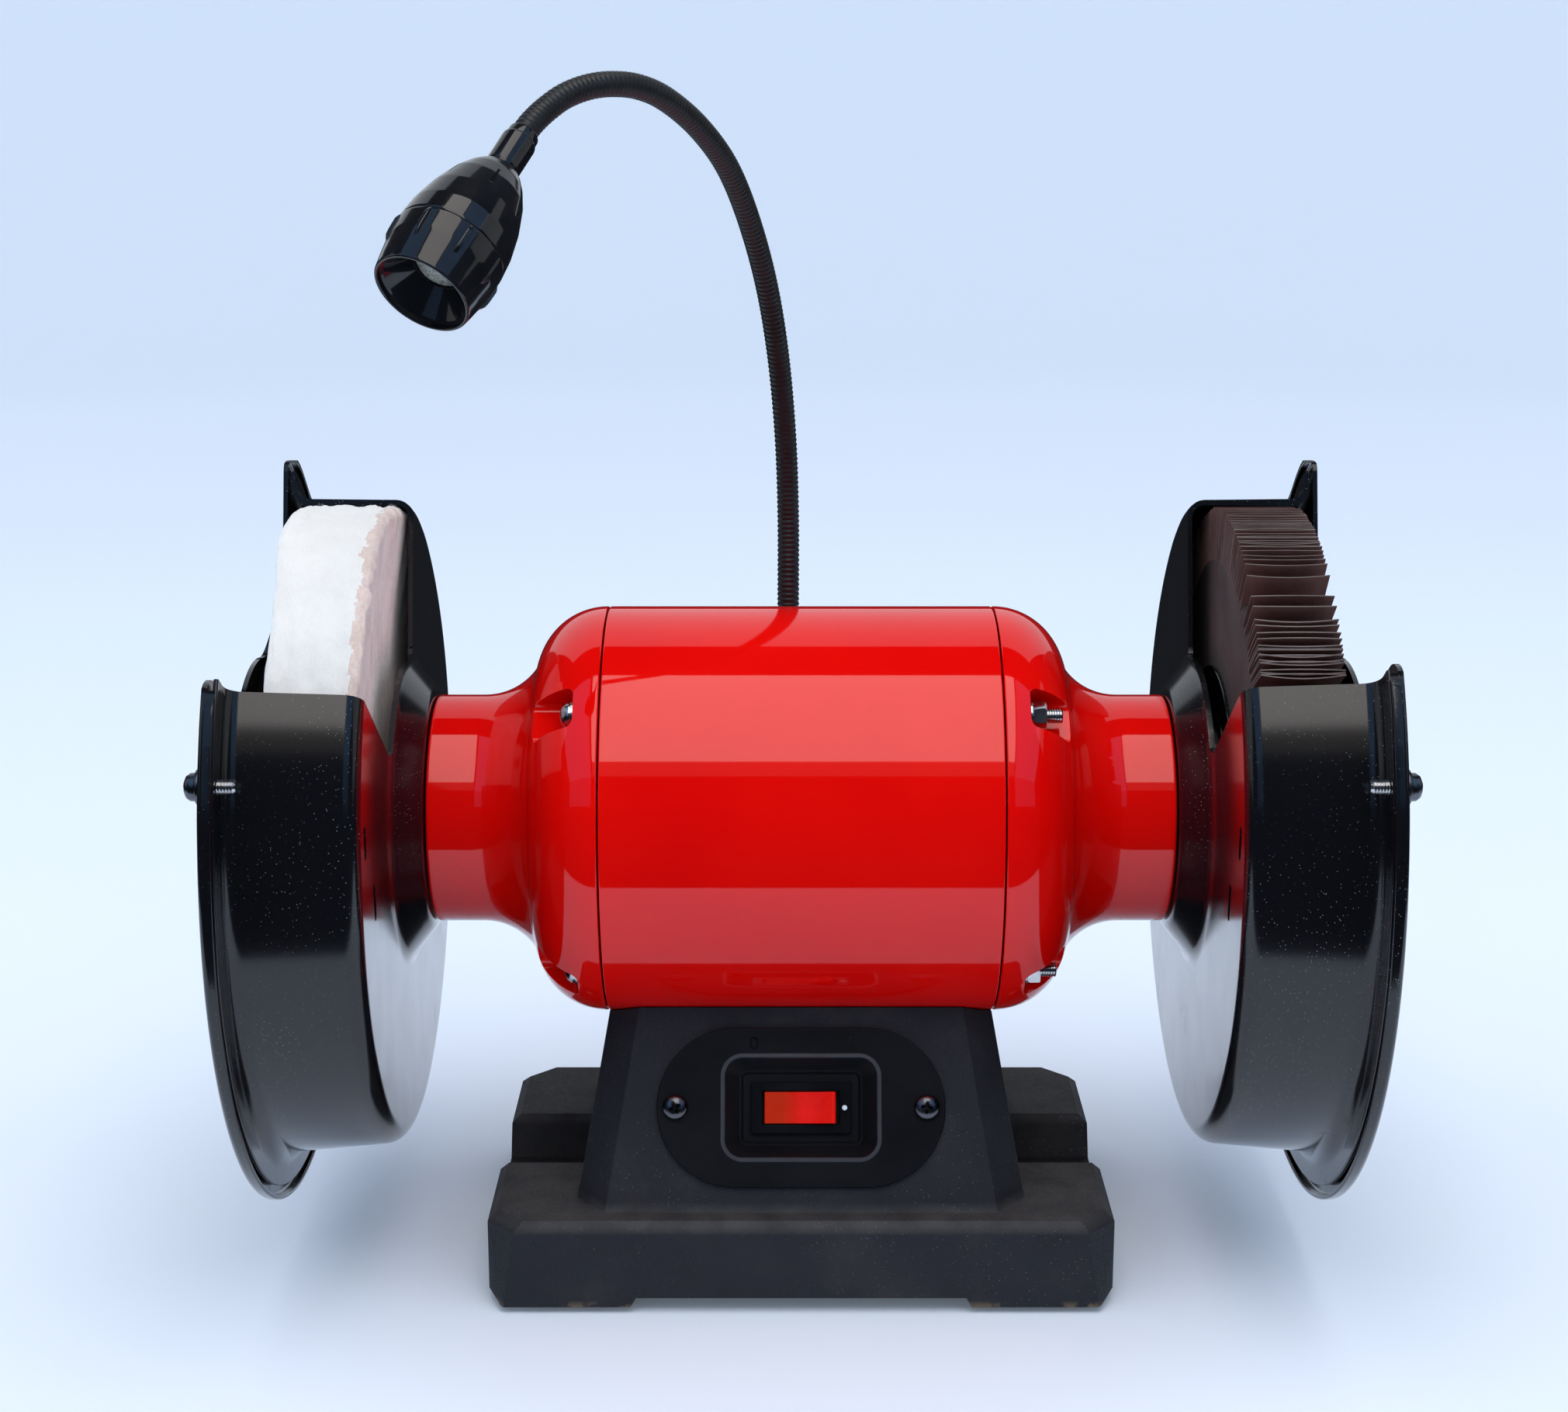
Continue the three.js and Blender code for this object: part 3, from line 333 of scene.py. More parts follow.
# ---------- materials
class Nodes:
    """Small helper for building a node material."""

    def __init__(self, name):
        self.material = bpy.data.materials.new(name)
        self.material.use_nodes = True
        self.tree = self.material.node_tree
        self.shader = self.tree.nodes["Principled BSDF"]
        self.place = self.add("ShaderNodeTexCoord").outputs["Object"]
        self.normal = None

    def add(self, kind, inputs=(), **settings):
        """A new node, with values for some of its inputs."""
        node = self.tree.nodes.new(kind)
        for key, value in settings.items():
            setattr(node, key, value)
        for key, value in dict(inputs).items():
            node.inputs[key].default_value = value
        return node

    def link(self, source, target):
        self.tree.links.new(source, target)

    def set(self, **values):
        for key, value in values.items():
            self.shader.inputs[key.replace("_", " ")].default_value = value

    def stretched(self, scale):
        mapping = self.add("ShaderNodeMapping", {"Scale": scale})
        self.link(self.place, mapping.inputs["Vector"])
        return mapping.outputs["Vector"]

    def noise(self, scale, detail=4, rough=0.55, vector=None):
        node = self.add("ShaderNodeTexNoise", {"Scale": scale, "Detail": detail, "Roughness": rough})
        self.link(vector or self.place, node.inputs["Vector"])
        return node.outputs["Fac"]

    def cells(self, scale):
        """Distance from the middle of the nearest of many scattered cells."""
        node = self.add("ShaderNodeTexVoronoi", {"Scale": scale})
        self.link(self.place, node.inputs["Vector"])
        return node.outputs["Distance"]

    def spots(self, scale, low, high):
        """Small scattered spots: 1 inside a spot and 0 outside."""
        return self.ranged(self.cells(scale), low, high, 1, 0)

    def along(self, axis):
        """Place along one of the object's axes, in metres."""
        node = self.add("ShaderNodeSeparateXYZ")
        self.link(self.place, node.inputs["Vector"])
        return node.outputs[axis]

    def ranged(self, source, from_low, from_high, low, high):
        ends = {"From Min": from_low, "From Max": from_high, "To Min": low, "To Max": high}
        node = self.add("ShaderNodeMapRange", ends)
        self.link(source, node.inputs["Value"])
        return node.outputs["Result"]

    def times(self, one, two):
        node = self.add("ShaderNodeMath", operation="MULTIPLY")
        self.link(one, node.inputs[0])
        self.link(two, node.inputs[1])
        return node.outputs["Value"]

    def ramp(self, source, stops):
        node = self.add("ShaderNodeValToRGB")
        elements = node.color_ramp.elements
        elements[0].position, elements[0].color = stops[0][0], (*stops[0][1], 1)
        elements[1].position, elements[1].color = stops[-1][0], (*stops[-1][1], 1)
        for at, color in stops[1:-1]:
            elements.new(at).color = (*color, 1)
        self.link(source, node.inputs["Fac"])
        return node.outputs["Color"]

    def mixed(self, factor, one, two):
        node = self.add("ShaderNodeMix", data_type="RGBA")
        self.link(factor, node.inputs["Factor"])
        for value, target in ((one, node.inputs["A"]), (two, node.inputs["B"])):
            if isinstance(value, tuple):
                target.default_value = (*value, 1)
            else:
                self.link(value, target)
        return node.outputs["Result"]

    def color(self, source):
        self.link(source, self.shader.inputs["Base Color"])

    def rough(self, source, low, high, from_low=0.3, from_high=0.7):
        """Roughness from low to high where the source goes from from_low to from_high."""
        self.link(self.ranged(source, from_low, from_high, low, high), self.shader.inputs["Roughness"])

    def bump(self, height, distance):
        """Adds a bump on top of the ones before it. distance is in millimetres."""
        node = self.add("ShaderNodeBump", {"Distance": distance * MM})
        self.link(height, node.inputs["Height"])
        if self.normal:
            self.link(self.normal, node.inputs["Normal"])
        self.normal = node.outputs["Normal"]
        self.link(self.normal, self.shader.inputs["Normal"])


def red_paint():
    m = Nodes("red_paint")
    m.set(Coat_Weight=1.0, Coat_Roughness=0.05, Specular_IOR_Level=0.0)
    patches = m.noise(22, 3)
    m.color(m.ramp(patches, [(0.3, (0.64, 0.0012, 0.0008)), (0.7, (0.70, 0.0024, 0.001))]))
    m.rough(m.noise(60, 5), 0.24, 0.36)
    m.bump(m.noise(420, 2), 0.012)
    return m.material


def gloss_black():
    m = Nodes("gloss_black")
    m.set(Coat_Weight=1.0, Coat_Roughness=0.15, Specular_IOR_Level=0.05)
    dusting = m.times(m.spots(760, 0.03, 0.14), m.ranged(m.noise(20, 4), 0.40, 0.7, 0.06, 0.55))
    m.color(m.mixed(dusting, (0.0030, 0.0035, 0.0050), (0.62, 0.64, 0.68)))
    m.rough(m.noise(45, 5), 0.13, 0.3, 0.3, 0.75)
    m.bump(m.noise(520, 3), 0.02)
    return m.material


def cast_paint():
    m = Nodes("cast_paint")
    m.set(Specular_IOR_Level=0.3)
    grain = m.noise(1500, 3, 0.7)
    clean, worn, faded = (0.0105, 0.0115, 0.0165), (0.0145, 0.0155, 0.021), (0.027, 0.026, 0.027)
    base = m.ramp(m.noise(38, 5, 0.6), [(0.3, clean), (0.55, worn), (0.8, faded)])
    rust = m.times(m.spots(230, 0.0, 0.09), m.ranged(m.noise(24, 2), 0.5, 0.62, 0, 0.8))
    specks = m.times(m.spots(620, 0.02, 0.13), m.ranged(m.noise(17, 3), 0.42, 0.62, 0.05, 0.6))
    height = m.along("Z")
    below, above = m.ranged(height, 0.0272, 0.0296, 0, 1), m.ranged(height, 0.0314, 0.034, 1, 0)
    ledge_dust = m.times(m.times(below, above), m.ranged(m.noise(70, 5), 0.3, 0.65, 0.3, 1))
    at_foot = m.ranged(height, 0.0026, 0.0046, 1, 0)
    scuffed = m.times(at_foot, m.ranged(m.noise(160, 4), 0.5, 0.58, 0, 0.9))
    dusty = m.mixed(ledge_dust, m.mixed(rust, base, (0.16, 0.10, 0.06)), (0.050, 0.050, 0.052))
    m.color(m.mixed(scuffed, m.mixed(specks, dusty, (0.28, 0.28, 0.29)), (0.13, 0.095, 0.06)))
    m.rough(grain, 0.5, 0.78)
    m.bump(grain, 0.16)
    m.bump(m.noise(520, 2), 0.1)
    return m.material


def black_plastic():
    m = Nodes("black_plastic")
    m.set(Specular_IOR_Level=0.14)
    grain = m.noise(1900, 2)
    haze = m.noise(30, 4)
    m.color(m.ramp(haze, [(0.3, (0.0035, 0.0042, 0.0062)), (0.75, (0.0065, 0.0072, 0.0095))]))
    m.rough(haze, 0.36, 0.5)
    m.bump(grain, 0.05)
    return m.material


def gloss_plastic():
    m = Nodes("gloss_plastic")
    m.set(Coat_Weight=0.8, Coat_Roughness=0.05, Specular_IOR_Level=0.1)
    haze = m.noise(70, 4)
    m.color(m.ramp(haze, [(0.3, (0.004, 0.0045, 0.006)), (0.8, (0.0075, 0.0085, 0.011))]))
    m.rough(haze, 0.12, 0.24, 0.3, 0.75)
    m.bump(m.noise(260, 3), 0.012)
    return m.material


def red_plastic():
    m = Nodes("red_plastic")
    m.set(Coat_Weight=0.16, Coat_Roughness=0.1, Specular_IOR_Level=0.1)
    glow = m.ramp(m.noise(90, 3), [(0.3, (0.72, 0.004, 0.001)), (0.7, (0.84, 0.008, 0.002))])
    # Painted shade: the pressed half is coloured a duller, more orange red for how the light falls on its
    # flat face.
    pressed_half_shade = m.ranged(m.along("X"), -0.0062, 0.0006, 1, 0)
    m.color(m.mixed(pressed_half_shade, glow, (0.52, 0.020, 0.0015)))
    m.rough(m.noise(240, 3), 0.24, 0.36)
    m.bump(m.noise(900, 2), 0.01)
    return m.material


def metal(name, color, rough, bump=0.01, streak=(1, 1, 1)):
    m = Nodes(name)
    m.set(Metallic=1.0)
    cloud = m.noise(120, 5, 0.6, m.stretched(streak))
    dark = tuple(0.72 * c for c in color)
    m.color(m.ramp(cloud, [(0.3, dark), (0.6, color)]))
    m.rough(cloud, rough * 0.75, rough * 1.35)
    m.bump(m.noise(600, 4, 0.6, m.stretched(streak)), bump)
    return m.material


def rubber(name, color, rough):
    m = Nodes(name)
    cloud = m.noise(160, 5)
    pale = tuple(1.9 * c for c in color)
    m.color(m.ramp(cloud, [(0.35, color), (0.8, pale)]))
    m.rough(cloud, rough * 0.85, min(1.0, rough * 1.15))
    m.bump(m.noise(1200, 3), 0.03)
    return m.material


def cloth(name, pale, deep, along):
    """Cotton: a fine thread grain, and soft clouds of colour. along stretches the grain."""
    m = Nodes(name)
    m.set(Sheen_Weight=0.35, Sheen_Roughness=0.5, Specular_IOR_Level=0.1)
    thread = m.noise(900, 4, 0.65, m.stretched(along))
    cloud = m.noise(34, 4, 0.6)
    tint = m.ramp(cloud, [(0.36, deep), (0.6, pale)])
    m.color(m.mixed(m.ranged(thread, 0.35, 0.65, 0.0, 0.22), tint, (0.98, 0.96, 0.93)))
    m.rough(thread, 0.85, 1.0, 0.2, 0.8)
    m.bump(thread, 0.32)
    m.bump(m.noise(2600, 2, 0.6), 0.06)
    return m.material


def abrasive(name, deep, pale):
    m = Nodes(name)
    m.set(Specular_IOR_Level=0.25)
    grit = m.noise(2400, 3, 0.7)
    cloud = m.noise(42, 4, 0.6)
    fleck = m.times(m.spots(900, 0.0, 0.16), m.ranged(grit, 0.45, 0.7, 0, 0.5))
    m.color(m.mixed(fleck, m.ramp(cloud, [(0.32, deep), (0.7, pale)]), (0.42, 0.36, 0.33)))
    m.rough(grit, 0.8, 0.98)
    m.bump(grit, 0.12)
    return m.material


def lens_glass():
    m = Nodes("lens_glass")
    m.set(Roughness=0.22, IOR=1.46, Transmission_Weight=0.35, Coat_Weight=0.4, Coat_Roughness=0.1)
    cells = m.cells(900)
    m.color(m.ramp(cells, [(0.1, (0.16, 0.165, 0.14)), (0.6, (0.42, 0.43, 0.38))]))
    m.bump(cells, 0.25)
    return m.material


def plain_paint(name, color, rough):
    m = Nodes(name)
    cloud = m.noise(200, 3)
    m.color(m.ramp(cloud, [(0.3, tuple(0.9 * c for c in color)), (0.7, color)]))
    m.rough(cloud, rough * 0.9, rough * 1.1)
    return m.material


RED = red_paint()
BLACK = gloss_black()
CAST = cast_paint()
PLASTIC = black_plastic()
SHINY = gloss_plastic()
ROCKER_RED = red_plastic()
ZINC = metal("zinc_plate", (0.66, 0.67, 0.69), 0.2)
BLACK_STEEL = metal("black_oxide", (0.13, 0.135, 0.15), 0.24)
STEEL = metal("ground_steel", (0.5, 0.5, 0.52), 0.25, 0.02, (8, 1, 1))
LAMINATION = metal("laminated_steel", (0.17, 0.17, 0.18), 0.45, 0.08, (60, 1, 1))
COPPER = metal("enamelled_copper", (0.55, 0.2, 0.08), 0.3, 0.2, (1, 12, 12))
FOOT_RUBBER = rubber("foot_rubber", (0.008, 0.008, 0.0085), 0.8)
SLEEVE = rubber("gooseneck_sleeve", (0.006, 0.0065, 0.0075), 0.42)
WHITE_CLOTH = cloth("buff_face", (0.80, 0.80, 0.79), (0.74, 0.735, 0.72), (4, 1, 1))
PINK_CLOTH = cloth("buff_side", (0.70, 0.56, 0.51), (0.50, 0.37, 0.32), (1, 0.6, 0.6))
LEAF_FACE = abrasive("leaf_face", (0.10, 0.042, 0.035), (0.14, 0.072, 0.06))
LEAF_EDGE = abrasive("leaf_edge", (0.085, 0.068, 0.066), (0.17, 0.14, 0.135))
LEAF_ROOT = abrasive("leaf_root", (0.05, 0.038, 0.036), (0.085, 0.066, 0.062))
LENS = lens_glass()
WHITE_MARK = plain_paint("white_mark", (0.75, 0.85, 0.95), 0.4)
# The switch plate's lips: a lighter colour that paints the highlight along them, and a lower roughness for
# their real polish.
LIP_HIGHLIGHT_AND_POLISH = plain_paint("lip_painted_highlight_and_polish", (0.045, 0.048, 0.055), 0.22)


# ---------- motor
BELL_FROM = 63.45
SEAM = 0.5  # the gap between the case and an end bell
CASE_RADIUS = node_mm("stator_housing")[1].z - SPINDLE_Z
CASE_BORE = 63.4
BELL_END = node_mm("right_end_bell")[1].x
BEARING_END = 112.3
SHAFT_HOLE = 12.6
TIE_CIRCLE = 59.5
TIE_SEAT = 71.5
POCKET_WIDTH = 14.2
POCKET_DEPTH = 30  # far enough to come out of the end bell
POCKET_FLOOR = 6.0
TIE_ANGLES = [45, 135, 225, 315]


def at_tie_bolt(bm, degrees):
    """Places a body made on the X axis at one of the four tie bolts."""
    turn = spin(degrees, "X")
    return moved(bm, shift(0, 0, TIE_CIRCLE), turn, ON_SPINDLE)


def bell_profile():
    dome = arc(63.9, CASE_RADIUS - 23, 23, 88, 10, 22)
    flare = arc(105, 59.3, 21.7, 214, 270, 16)
    rim = rounded([(BELL_FROM, 50), (BELL_FROM, CASE_RADIUS), (70, CASE_RADIUS)], [0, 0.55, 0])[:-1]
    end = arc(BELL_END - 1, 36.6, 1, 90, 0, 4)
    inside = [(BELL_END, SHAFT_HOLE), (BEARING_END, SHAFT_HOLE), (BEARING_END, 20.2), (97.6, 20.2)]
    inside += [(96, 28), (86, 34), (74, 46)]
    return [*rim, *dome, *flare, *end, *inside]


def make_bell(side):
    bm = moved(turned(bell_profile(), 192, side), ON_SPINDLE)
    centre = (side * (TIE_SEAT + POCKET_DEPTH / 2), 0, POCKET_DEPTH / 2 - POCKET_FLOOR)
    size = (POCKET_DEPTH, POCKET_WIDTH, POCKET_DEPTH)
    pockets = [at_tie_bolt(rounded_box(size, 2.6, centre), degrees) for degrees in TIE_ANGLES]
    return eased(combined(bm, pockets), 0.45, 38)


def tie_head():
    """A domed head on a plain washer, standing on x = 0 and pointing to -X."""
    washer = [(0, 0), (0, 5.0), (0.8, 5.0), (0.8, 4.3)]
    dome = [(1.4, 4.4), (2.2, 4.3), (3.4, 3.5), (4.2, 2.1), (4.5, 0)]
    return solid_turned(washer + dome, 40, -1)


def hex_body(flats, height, bore=0.0):
    """A chamfered hexagon along X: its lower face on x = 0."""
    corner = flats / math.sqrt(3)
    blank = moved(prism(arc(0, 0, corner, 0, 300, 5), 0, height), spin(90, "Y"))
    face = flats / 2
    chamfer = [(-0.01, 0), (-0.01, face + 0.3), (height * 0.18, corner + 0.1), (height * 0.82, corner + 0.1),
               (height + 0.01, face + 0.3), (height + 0.01, 0)]
    shaped = combined(blank, [solid_turned(chamfer, 48)], "INTERSECT")
    if bore:
        shaped = combined(shaped, [solid_turned([(-5, 0), (-5, bore), (40, bore), (40, 0)], 32)])
    return shaped


def threaded(radius, start, end, pitch):
    """A screw thread drawn as close rings along X."""
    outline = [(start, 0), (start, radius * 0.8)]
    x = start
    while x + pitch < end:
        outline += [(x + pitch * 0.25, radius * 0.86), (x + pitch * 0.65, radius), (x + pitch, radius * 0.86)]
        x += pitch
    outline += [(end, radius * 0.7), (end, 0)]
    return solid_turned(outline, 24)


def make_motor():
    half = BELL_FROM - SEAM
    wall = [(-half, CASE_RADIUS), (half, CASE_RADIUS), (half, CASE_BORE), (-half, CASE_BORE)]
    case = moved(turned(rounded(wall, [0.45, 0.45, 0, 0]), 224), ON_SPINDLE)
    piece("motor_case", case, RED, "stator_housing")
    for name, side in SIDES.items():
        piece(f"{name}_bell", make_bell(side), RED, f"{name}_end_bell")
    for i, degrees in enumerate(TIE_ANGLES, 1):
        head = moved(tie_head(), shift(-TIE_SEAT, 0, 0))
        piece(f"tie_bolt_{i}", at_tie_bolt(head, degrees), ZINC, f"through_bolt_{i}")
        flat = [(0, 2.7), (0, 4.7), (1.1, 4.7), (1.1, 2.7)]
        washer = turned(rounded(flat, [0.1, 0.3, 0.3, 0.1], 2), 32)
        nut = moved(hex_body(8, 4), shift(1.2, 0, 0))
        end = threaded(2.45, 4, 10.5, 0.8)
        whole = moved(joined(washer, nut, end), shift(TIE_SEAT, 0, 0))
        piece(f"tie_nut_{i}", at_tie_bolt(whole, degrees), ZINC, f"through_nut_{i}")


# ---------- guards
NOTCH_INNER = 50
NOTCH_FRONT = {"left": 33.6, "right": 34.9}
COVER_FRONT = {"left": 34.3, "right": 36.7}
NOTCH_BACK = 106
SHEET = 1.5
GUARD_FACE = 120.5
GUARD_PLATE = 129.6
DRUM_END = 113.5
RIM_RADIUS = 124
COVER_RADIUS = -node_mm("right_guard_cover")[0].y
COVER_INSIDE = 171.6
DOME_RADIUS = 76
RIM_X = 169
SCREW_HEAD = 5  # a cover screw's head with its washer
SCREW_WASHER = 1.4
DRUM_DRAWN_IN = (7.2, 10.3)  # how far the upper rear is drawn in, at the flat plate and at the open side
RIM_DRAWN_IN = (11.5, 17.5)  # the same for the rim, at the notch and further back


def notch_outline(radius, rear, front, front_angle):
    """The outline that is kept: a disc with rounded corners beside its notch, angles from the front."""
    a0, a1 = math.radians(NOTCH_BACK), math.radians(front_angle) + 2 * math.pi
    small = 4
    inner = NOTCH_INNER + small
    turn = math.asin(small / inner)
    rear_turn = math.asin(rear / (radius - rear))
    front_turn = math.asin(front / (radius - front))

    def corner_arc(angle, reach, size, start, end):
        centre = (reach * math.cos(angle), reach * math.sin(angle))
        return arc(*centre, size, math.degrees(start), math.degrees(end), 8)

    return [
        *corner_arc(a0 - turn, inner, small, a0 - turn + math.pi, a0 + math.pi / 2),
        *corner_arc(a0 + rear_turn, radius - rear, rear, a0 - math.pi / 2, a0 + rear_turn),
        *arc(0, 0, radius, math.degrees(a0 + rear_turn), math.degrees(a1 - front_turn), 120),
        *corner_arc(a1 - front_turn, radius - front, front, a1 - front_turn, a1 + math.pi / 2),
        *corner_arc(a1 + turn, inner, small, a1 + 1.5 * math.pi, a1 + turn + math.pi),
        *arc(0, 0, NOTCH_INNER, math.degrees(a1 + turn), math.degrees(a0 + 2 * math.pi - turn), 24),
    ]


def notch_keeper(radius, rear, front, front_angle, side):
    outline = notch_outline(radius, rear, front, front_angle)
    return loft([[(side * x, -u, v) for u, v in outline] for x in (100, 200)])


def drawn_in_depth(x, radius, angle):
    """How far a point of a guard or cover is drawn in where the drawing-in is full."""
    at_drum = between(*DRUM_DRAWN_IN, share_between(GUARD_PLATE, RIM_X, x))
    at_rim = between(*RIM_DRAWN_IN, smooth_step(NOTCH_BACK, 122, angle))
    return between(at_drum, at_rim, share_between(DRUM_END, RIM_RADIUS, radius))


def drawn_in(bm):
    """Draws the upper rear of a guard or cover in towards the spindle, as the CAD does."""
    for v in bm.verts:
        radius = max(1.0, math.hypot(v.co.y, v.co.z))
        angle = math.degrees(math.atan2(v.co.z, -v.co.y)) % 360
        share = smooth_step(60, 100, angle) * (1 - smooth_step(130, 190, angle))
        share *= smooth_step(80, 105, radius)
        scale = 1 - share * drawn_in_depth(abs(v.co.x), radius, angle) / radius
        v.co.y *= scale
        v.co.z *= scale
    return bm


def slot_cutter(y, z, length, width, tilt, side):
    """A slot through the inner plate, long across the tilt angle."""
    outline = round_rect(length, width, width / 2 - 0.01, 6)
    bm = prism(outline, -6, 6)
    turn = spin(tilt, "Z")
    stand = Matrix(((0, 0, 1, 0), (1, 0, 0, 0), (0, 1, 0, 0), (0, 0, 0, 1)))
    return moved(bm, turn, stand, shift(side * GUARD_PLATE, y, z))


def guard_profile():
    inside = GUARD_PLATE + SHEET
    points = [
        (GUARD_FACE, 17), (GUARD_FACE, 39), (GUARD_PLATE, 50.5), (GUARD_PLATE, 110), (RIM_X - 0.02, DRUM_END),
        (RIM_X, RIM_RADIUS), (RIM_X + SHEET, RIM_RADIUS), (RIM_X + SHEET - 0.02, DRUM_END - SHEET - 1),
        (inside, 108.4), (inside, 50), (GUARD_FACE + SHEET, 38.4), (GUARD_FACE + SHEET, 17),
    ]
    radii = [0.3, 5, 7, 6.2, 5.5, 0.6, 0.6, 6.8, 4.8, 5.6, 6.4, 0.3]
    return rounded(points, radii, 6)


def make_guard(side, front_angle):
    bm = turned(guard_profile(), 180, side)
    slots = [slot_cutter(-97, 17, 10.5, 3.6, 92, side), slot_cutter(-83, -6, 12, 3.6, 96, side)]
    bm = combined(bm, [notch_keeper(135, 5, 5, front_angle, side)], "INTERSECT")
    return moved(drawn_in(eased(combined(bm, slots), 0.3, 50)), ON_SPINDLE)


def cover_profile():
    low, high = node_mm("right_guard_cover")
    lip, top = low.x, high.x
    out = COVER_INSIDE + SHEET
    dome_out, dome_in = [], []
    for share in [i / 24 for i in range(25)]:
        rise = (top - out) * (0.5 + 0.5 * math.cos(math.pi * share ** 1.25)) ** 0.8
        dome_out.append((out + rise, DOME_RADIUS * share))
        dome_in.append((COVER_INSIDE + rise, DOME_RADIUS * share))
    inner = COVER_RADIUS - SHEET
    lip_points = [(out, 90), (out, COVER_RADIUS), (lip, COVER_RADIUS), (lip, inner), (COVER_INSIDE, inner)]
    lip_outline = rounded([*lip_points, (COVER_INSIDE, 90)], [0, 2.1, 0.74, 0.74, 1, 0], 7)
    return dome_out + lip_outline + dome_in[::-1]


def make_cover(side, front_angle):
    bm = solid_turned(cover_profile(), 180, side)
    keeper = notch_keeper(COVER_RADIUS + 0.01, 5, 11, front_angle, side)
    return moved(drawn_in(eased(combined(bm, [keeper], "INTERSECT"), 0.35, 50)), ON_SPINDLE)


def pan_screw(radius, head, height, tip):
    """A cross-head screw: its head stands on x = 0, its thread runs to -tip."""
    dome = [(0, 0), (0, head - 0.2), (0.25, head), (height * 0.5, head * 0.97), (height * 0.82, head * 0.78),
            (height, head * 0.42), (height, 0)]
    arms = []
    for turn in (0, 90):
        arm = tapered_box((head * 1.05, head * 0.26), height + 0.1, (head * 0.35, head * 0.16), height - 1.7)
        arms.append(moved(arm, spin(90, "Y"), spin(turn, "X")))
    body = combined(solid_turned(dome, 40), arms)
    thread = moved(threaded(radius, 0, tip, 0.9), spin(180, "Z"))
    return joined(body, thread)


def cover_screw(length):
    """A pan-head screw on its captive washer. Its thread is the second material."""
    flat = [(0, 0), (0, 5.4), (SCREW_WASHER, 5.4), (SCREW_WASHER, 0)]
    washer = solid_turned(rounded(flat, [0, 0.4, 0.6, 0], 3), 40)
    head = SCREW_HEAD - SCREW_WASHER
    screw = joined(washer, moved(pan_screw(2.4, 4.2, head, length + SCREW_WASHER), shift(SCREW_WASHER, 0, 0)))
    for face in screw.faces:
        face.material_index = 1 if face.calc_center_median().x < -0.01 else 0
    return screw


def make_guards():
    for name, side in SIDES.items():
        guard = f"{name}_guard"
        drum, cover = make_guard(side, NOTCH_FRONT[name]), make_cover(side, COVER_FRONT[name])
        piece(f"{guard}_drum", drum, BLACK, guard, smooth=30)
        piece(f"{name}_cover", cover, BLACK, f"{guard}_cover", smooth=30)
        for i in (1, 2, 3):
            node = f"{name}_cover_screw_{i}"
            low, high = node_mm(node)
            seat = (high.x if side > 0 else low.x) - side * SCREW_HEAD
            centre = (low + high) / 2
            screw = cover_screw(high.x - low.x - SCREW_HEAD)
            screw = moved(screw, spin(90 - 90 * side, "Z"), shift(seat, centre.y, centre.z))
            piece(f"{name}_screw_{i}", screw, [BLACK_STEEL, ZINC], node)


# ---------- base
LEAN = math.radians(23.5)
PANEL_UP = 35
BASE_LOW, BASE_HIGH = node_mm("base_casting")
BASE_TOP = 31
PEDESTAL_FOOT = -61.4
PEDESTAL_Z = 29.5
PEDESTAL_TOP = 112  # inside the motor, before the saddle is cut
PEDESTAL_HALF = 63.5
PEDESTAL_TAPER = 0.177  # how much the half narrows for each millimetre of height
PEDESTAL_CORNER = (9.5, 11.4)  # the slanted corner faces, across and along
CORNER_LEAN = 0.02
CHANNEL_FLOOR = 17.5
RECESS_TOP = 3.2  # of the shallow recess between the corner feet
BENCH_HOLE_X = 89


def on_panel(bm, lift=0.0):
    """From the switch panel's own frame (X along it, Y up the slope, Z out of it) to the world's."""
    foot = Vector((0, PEDESTAL_FOOT + PANEL_UP * math.sin(LEAN), PEDESTAL_Z + PANEL_UP * math.cos(LEAN)))
    stand = Matrix.Rotation(math.pi / 2 - LEAN, 4, "X")
    return moved(bm, shift(0, 0, lift), stand, Matrix.Translation(foot))


def octagon(half, front, back, chamfer, z):
    return [
        (-half + chamfer, front, z), (half - chamfer, front, z), (half, front + chamfer, z),
        (half, back - chamfer, z), (half - chamfer, back, z), (-half + chamfer, back, z),
        (-half, back - chamfer, z), (-half, front + chamfer, z),
    ]


def pedestal_section(z):
    up = z - PEDESTAL_Z
    front = PEDESTAL_FOOT + up * math.tan(LEAN)
    half = PEDESTAL_HALF - PEDESTAL_TAPER * up
    wide = half + PEDESTAL_CORNER[0]
    corner = front + PEDESTAL_CORNER[1] - up * CORNER_LEAN
    return [
        (-half, front, z), (half, front, z), (wide, corner, z), (wide, -corner, z),
        (half, -front, z), (-half, -front, z), (-wide, -corner, z), (-wide, corner, z),
    ]


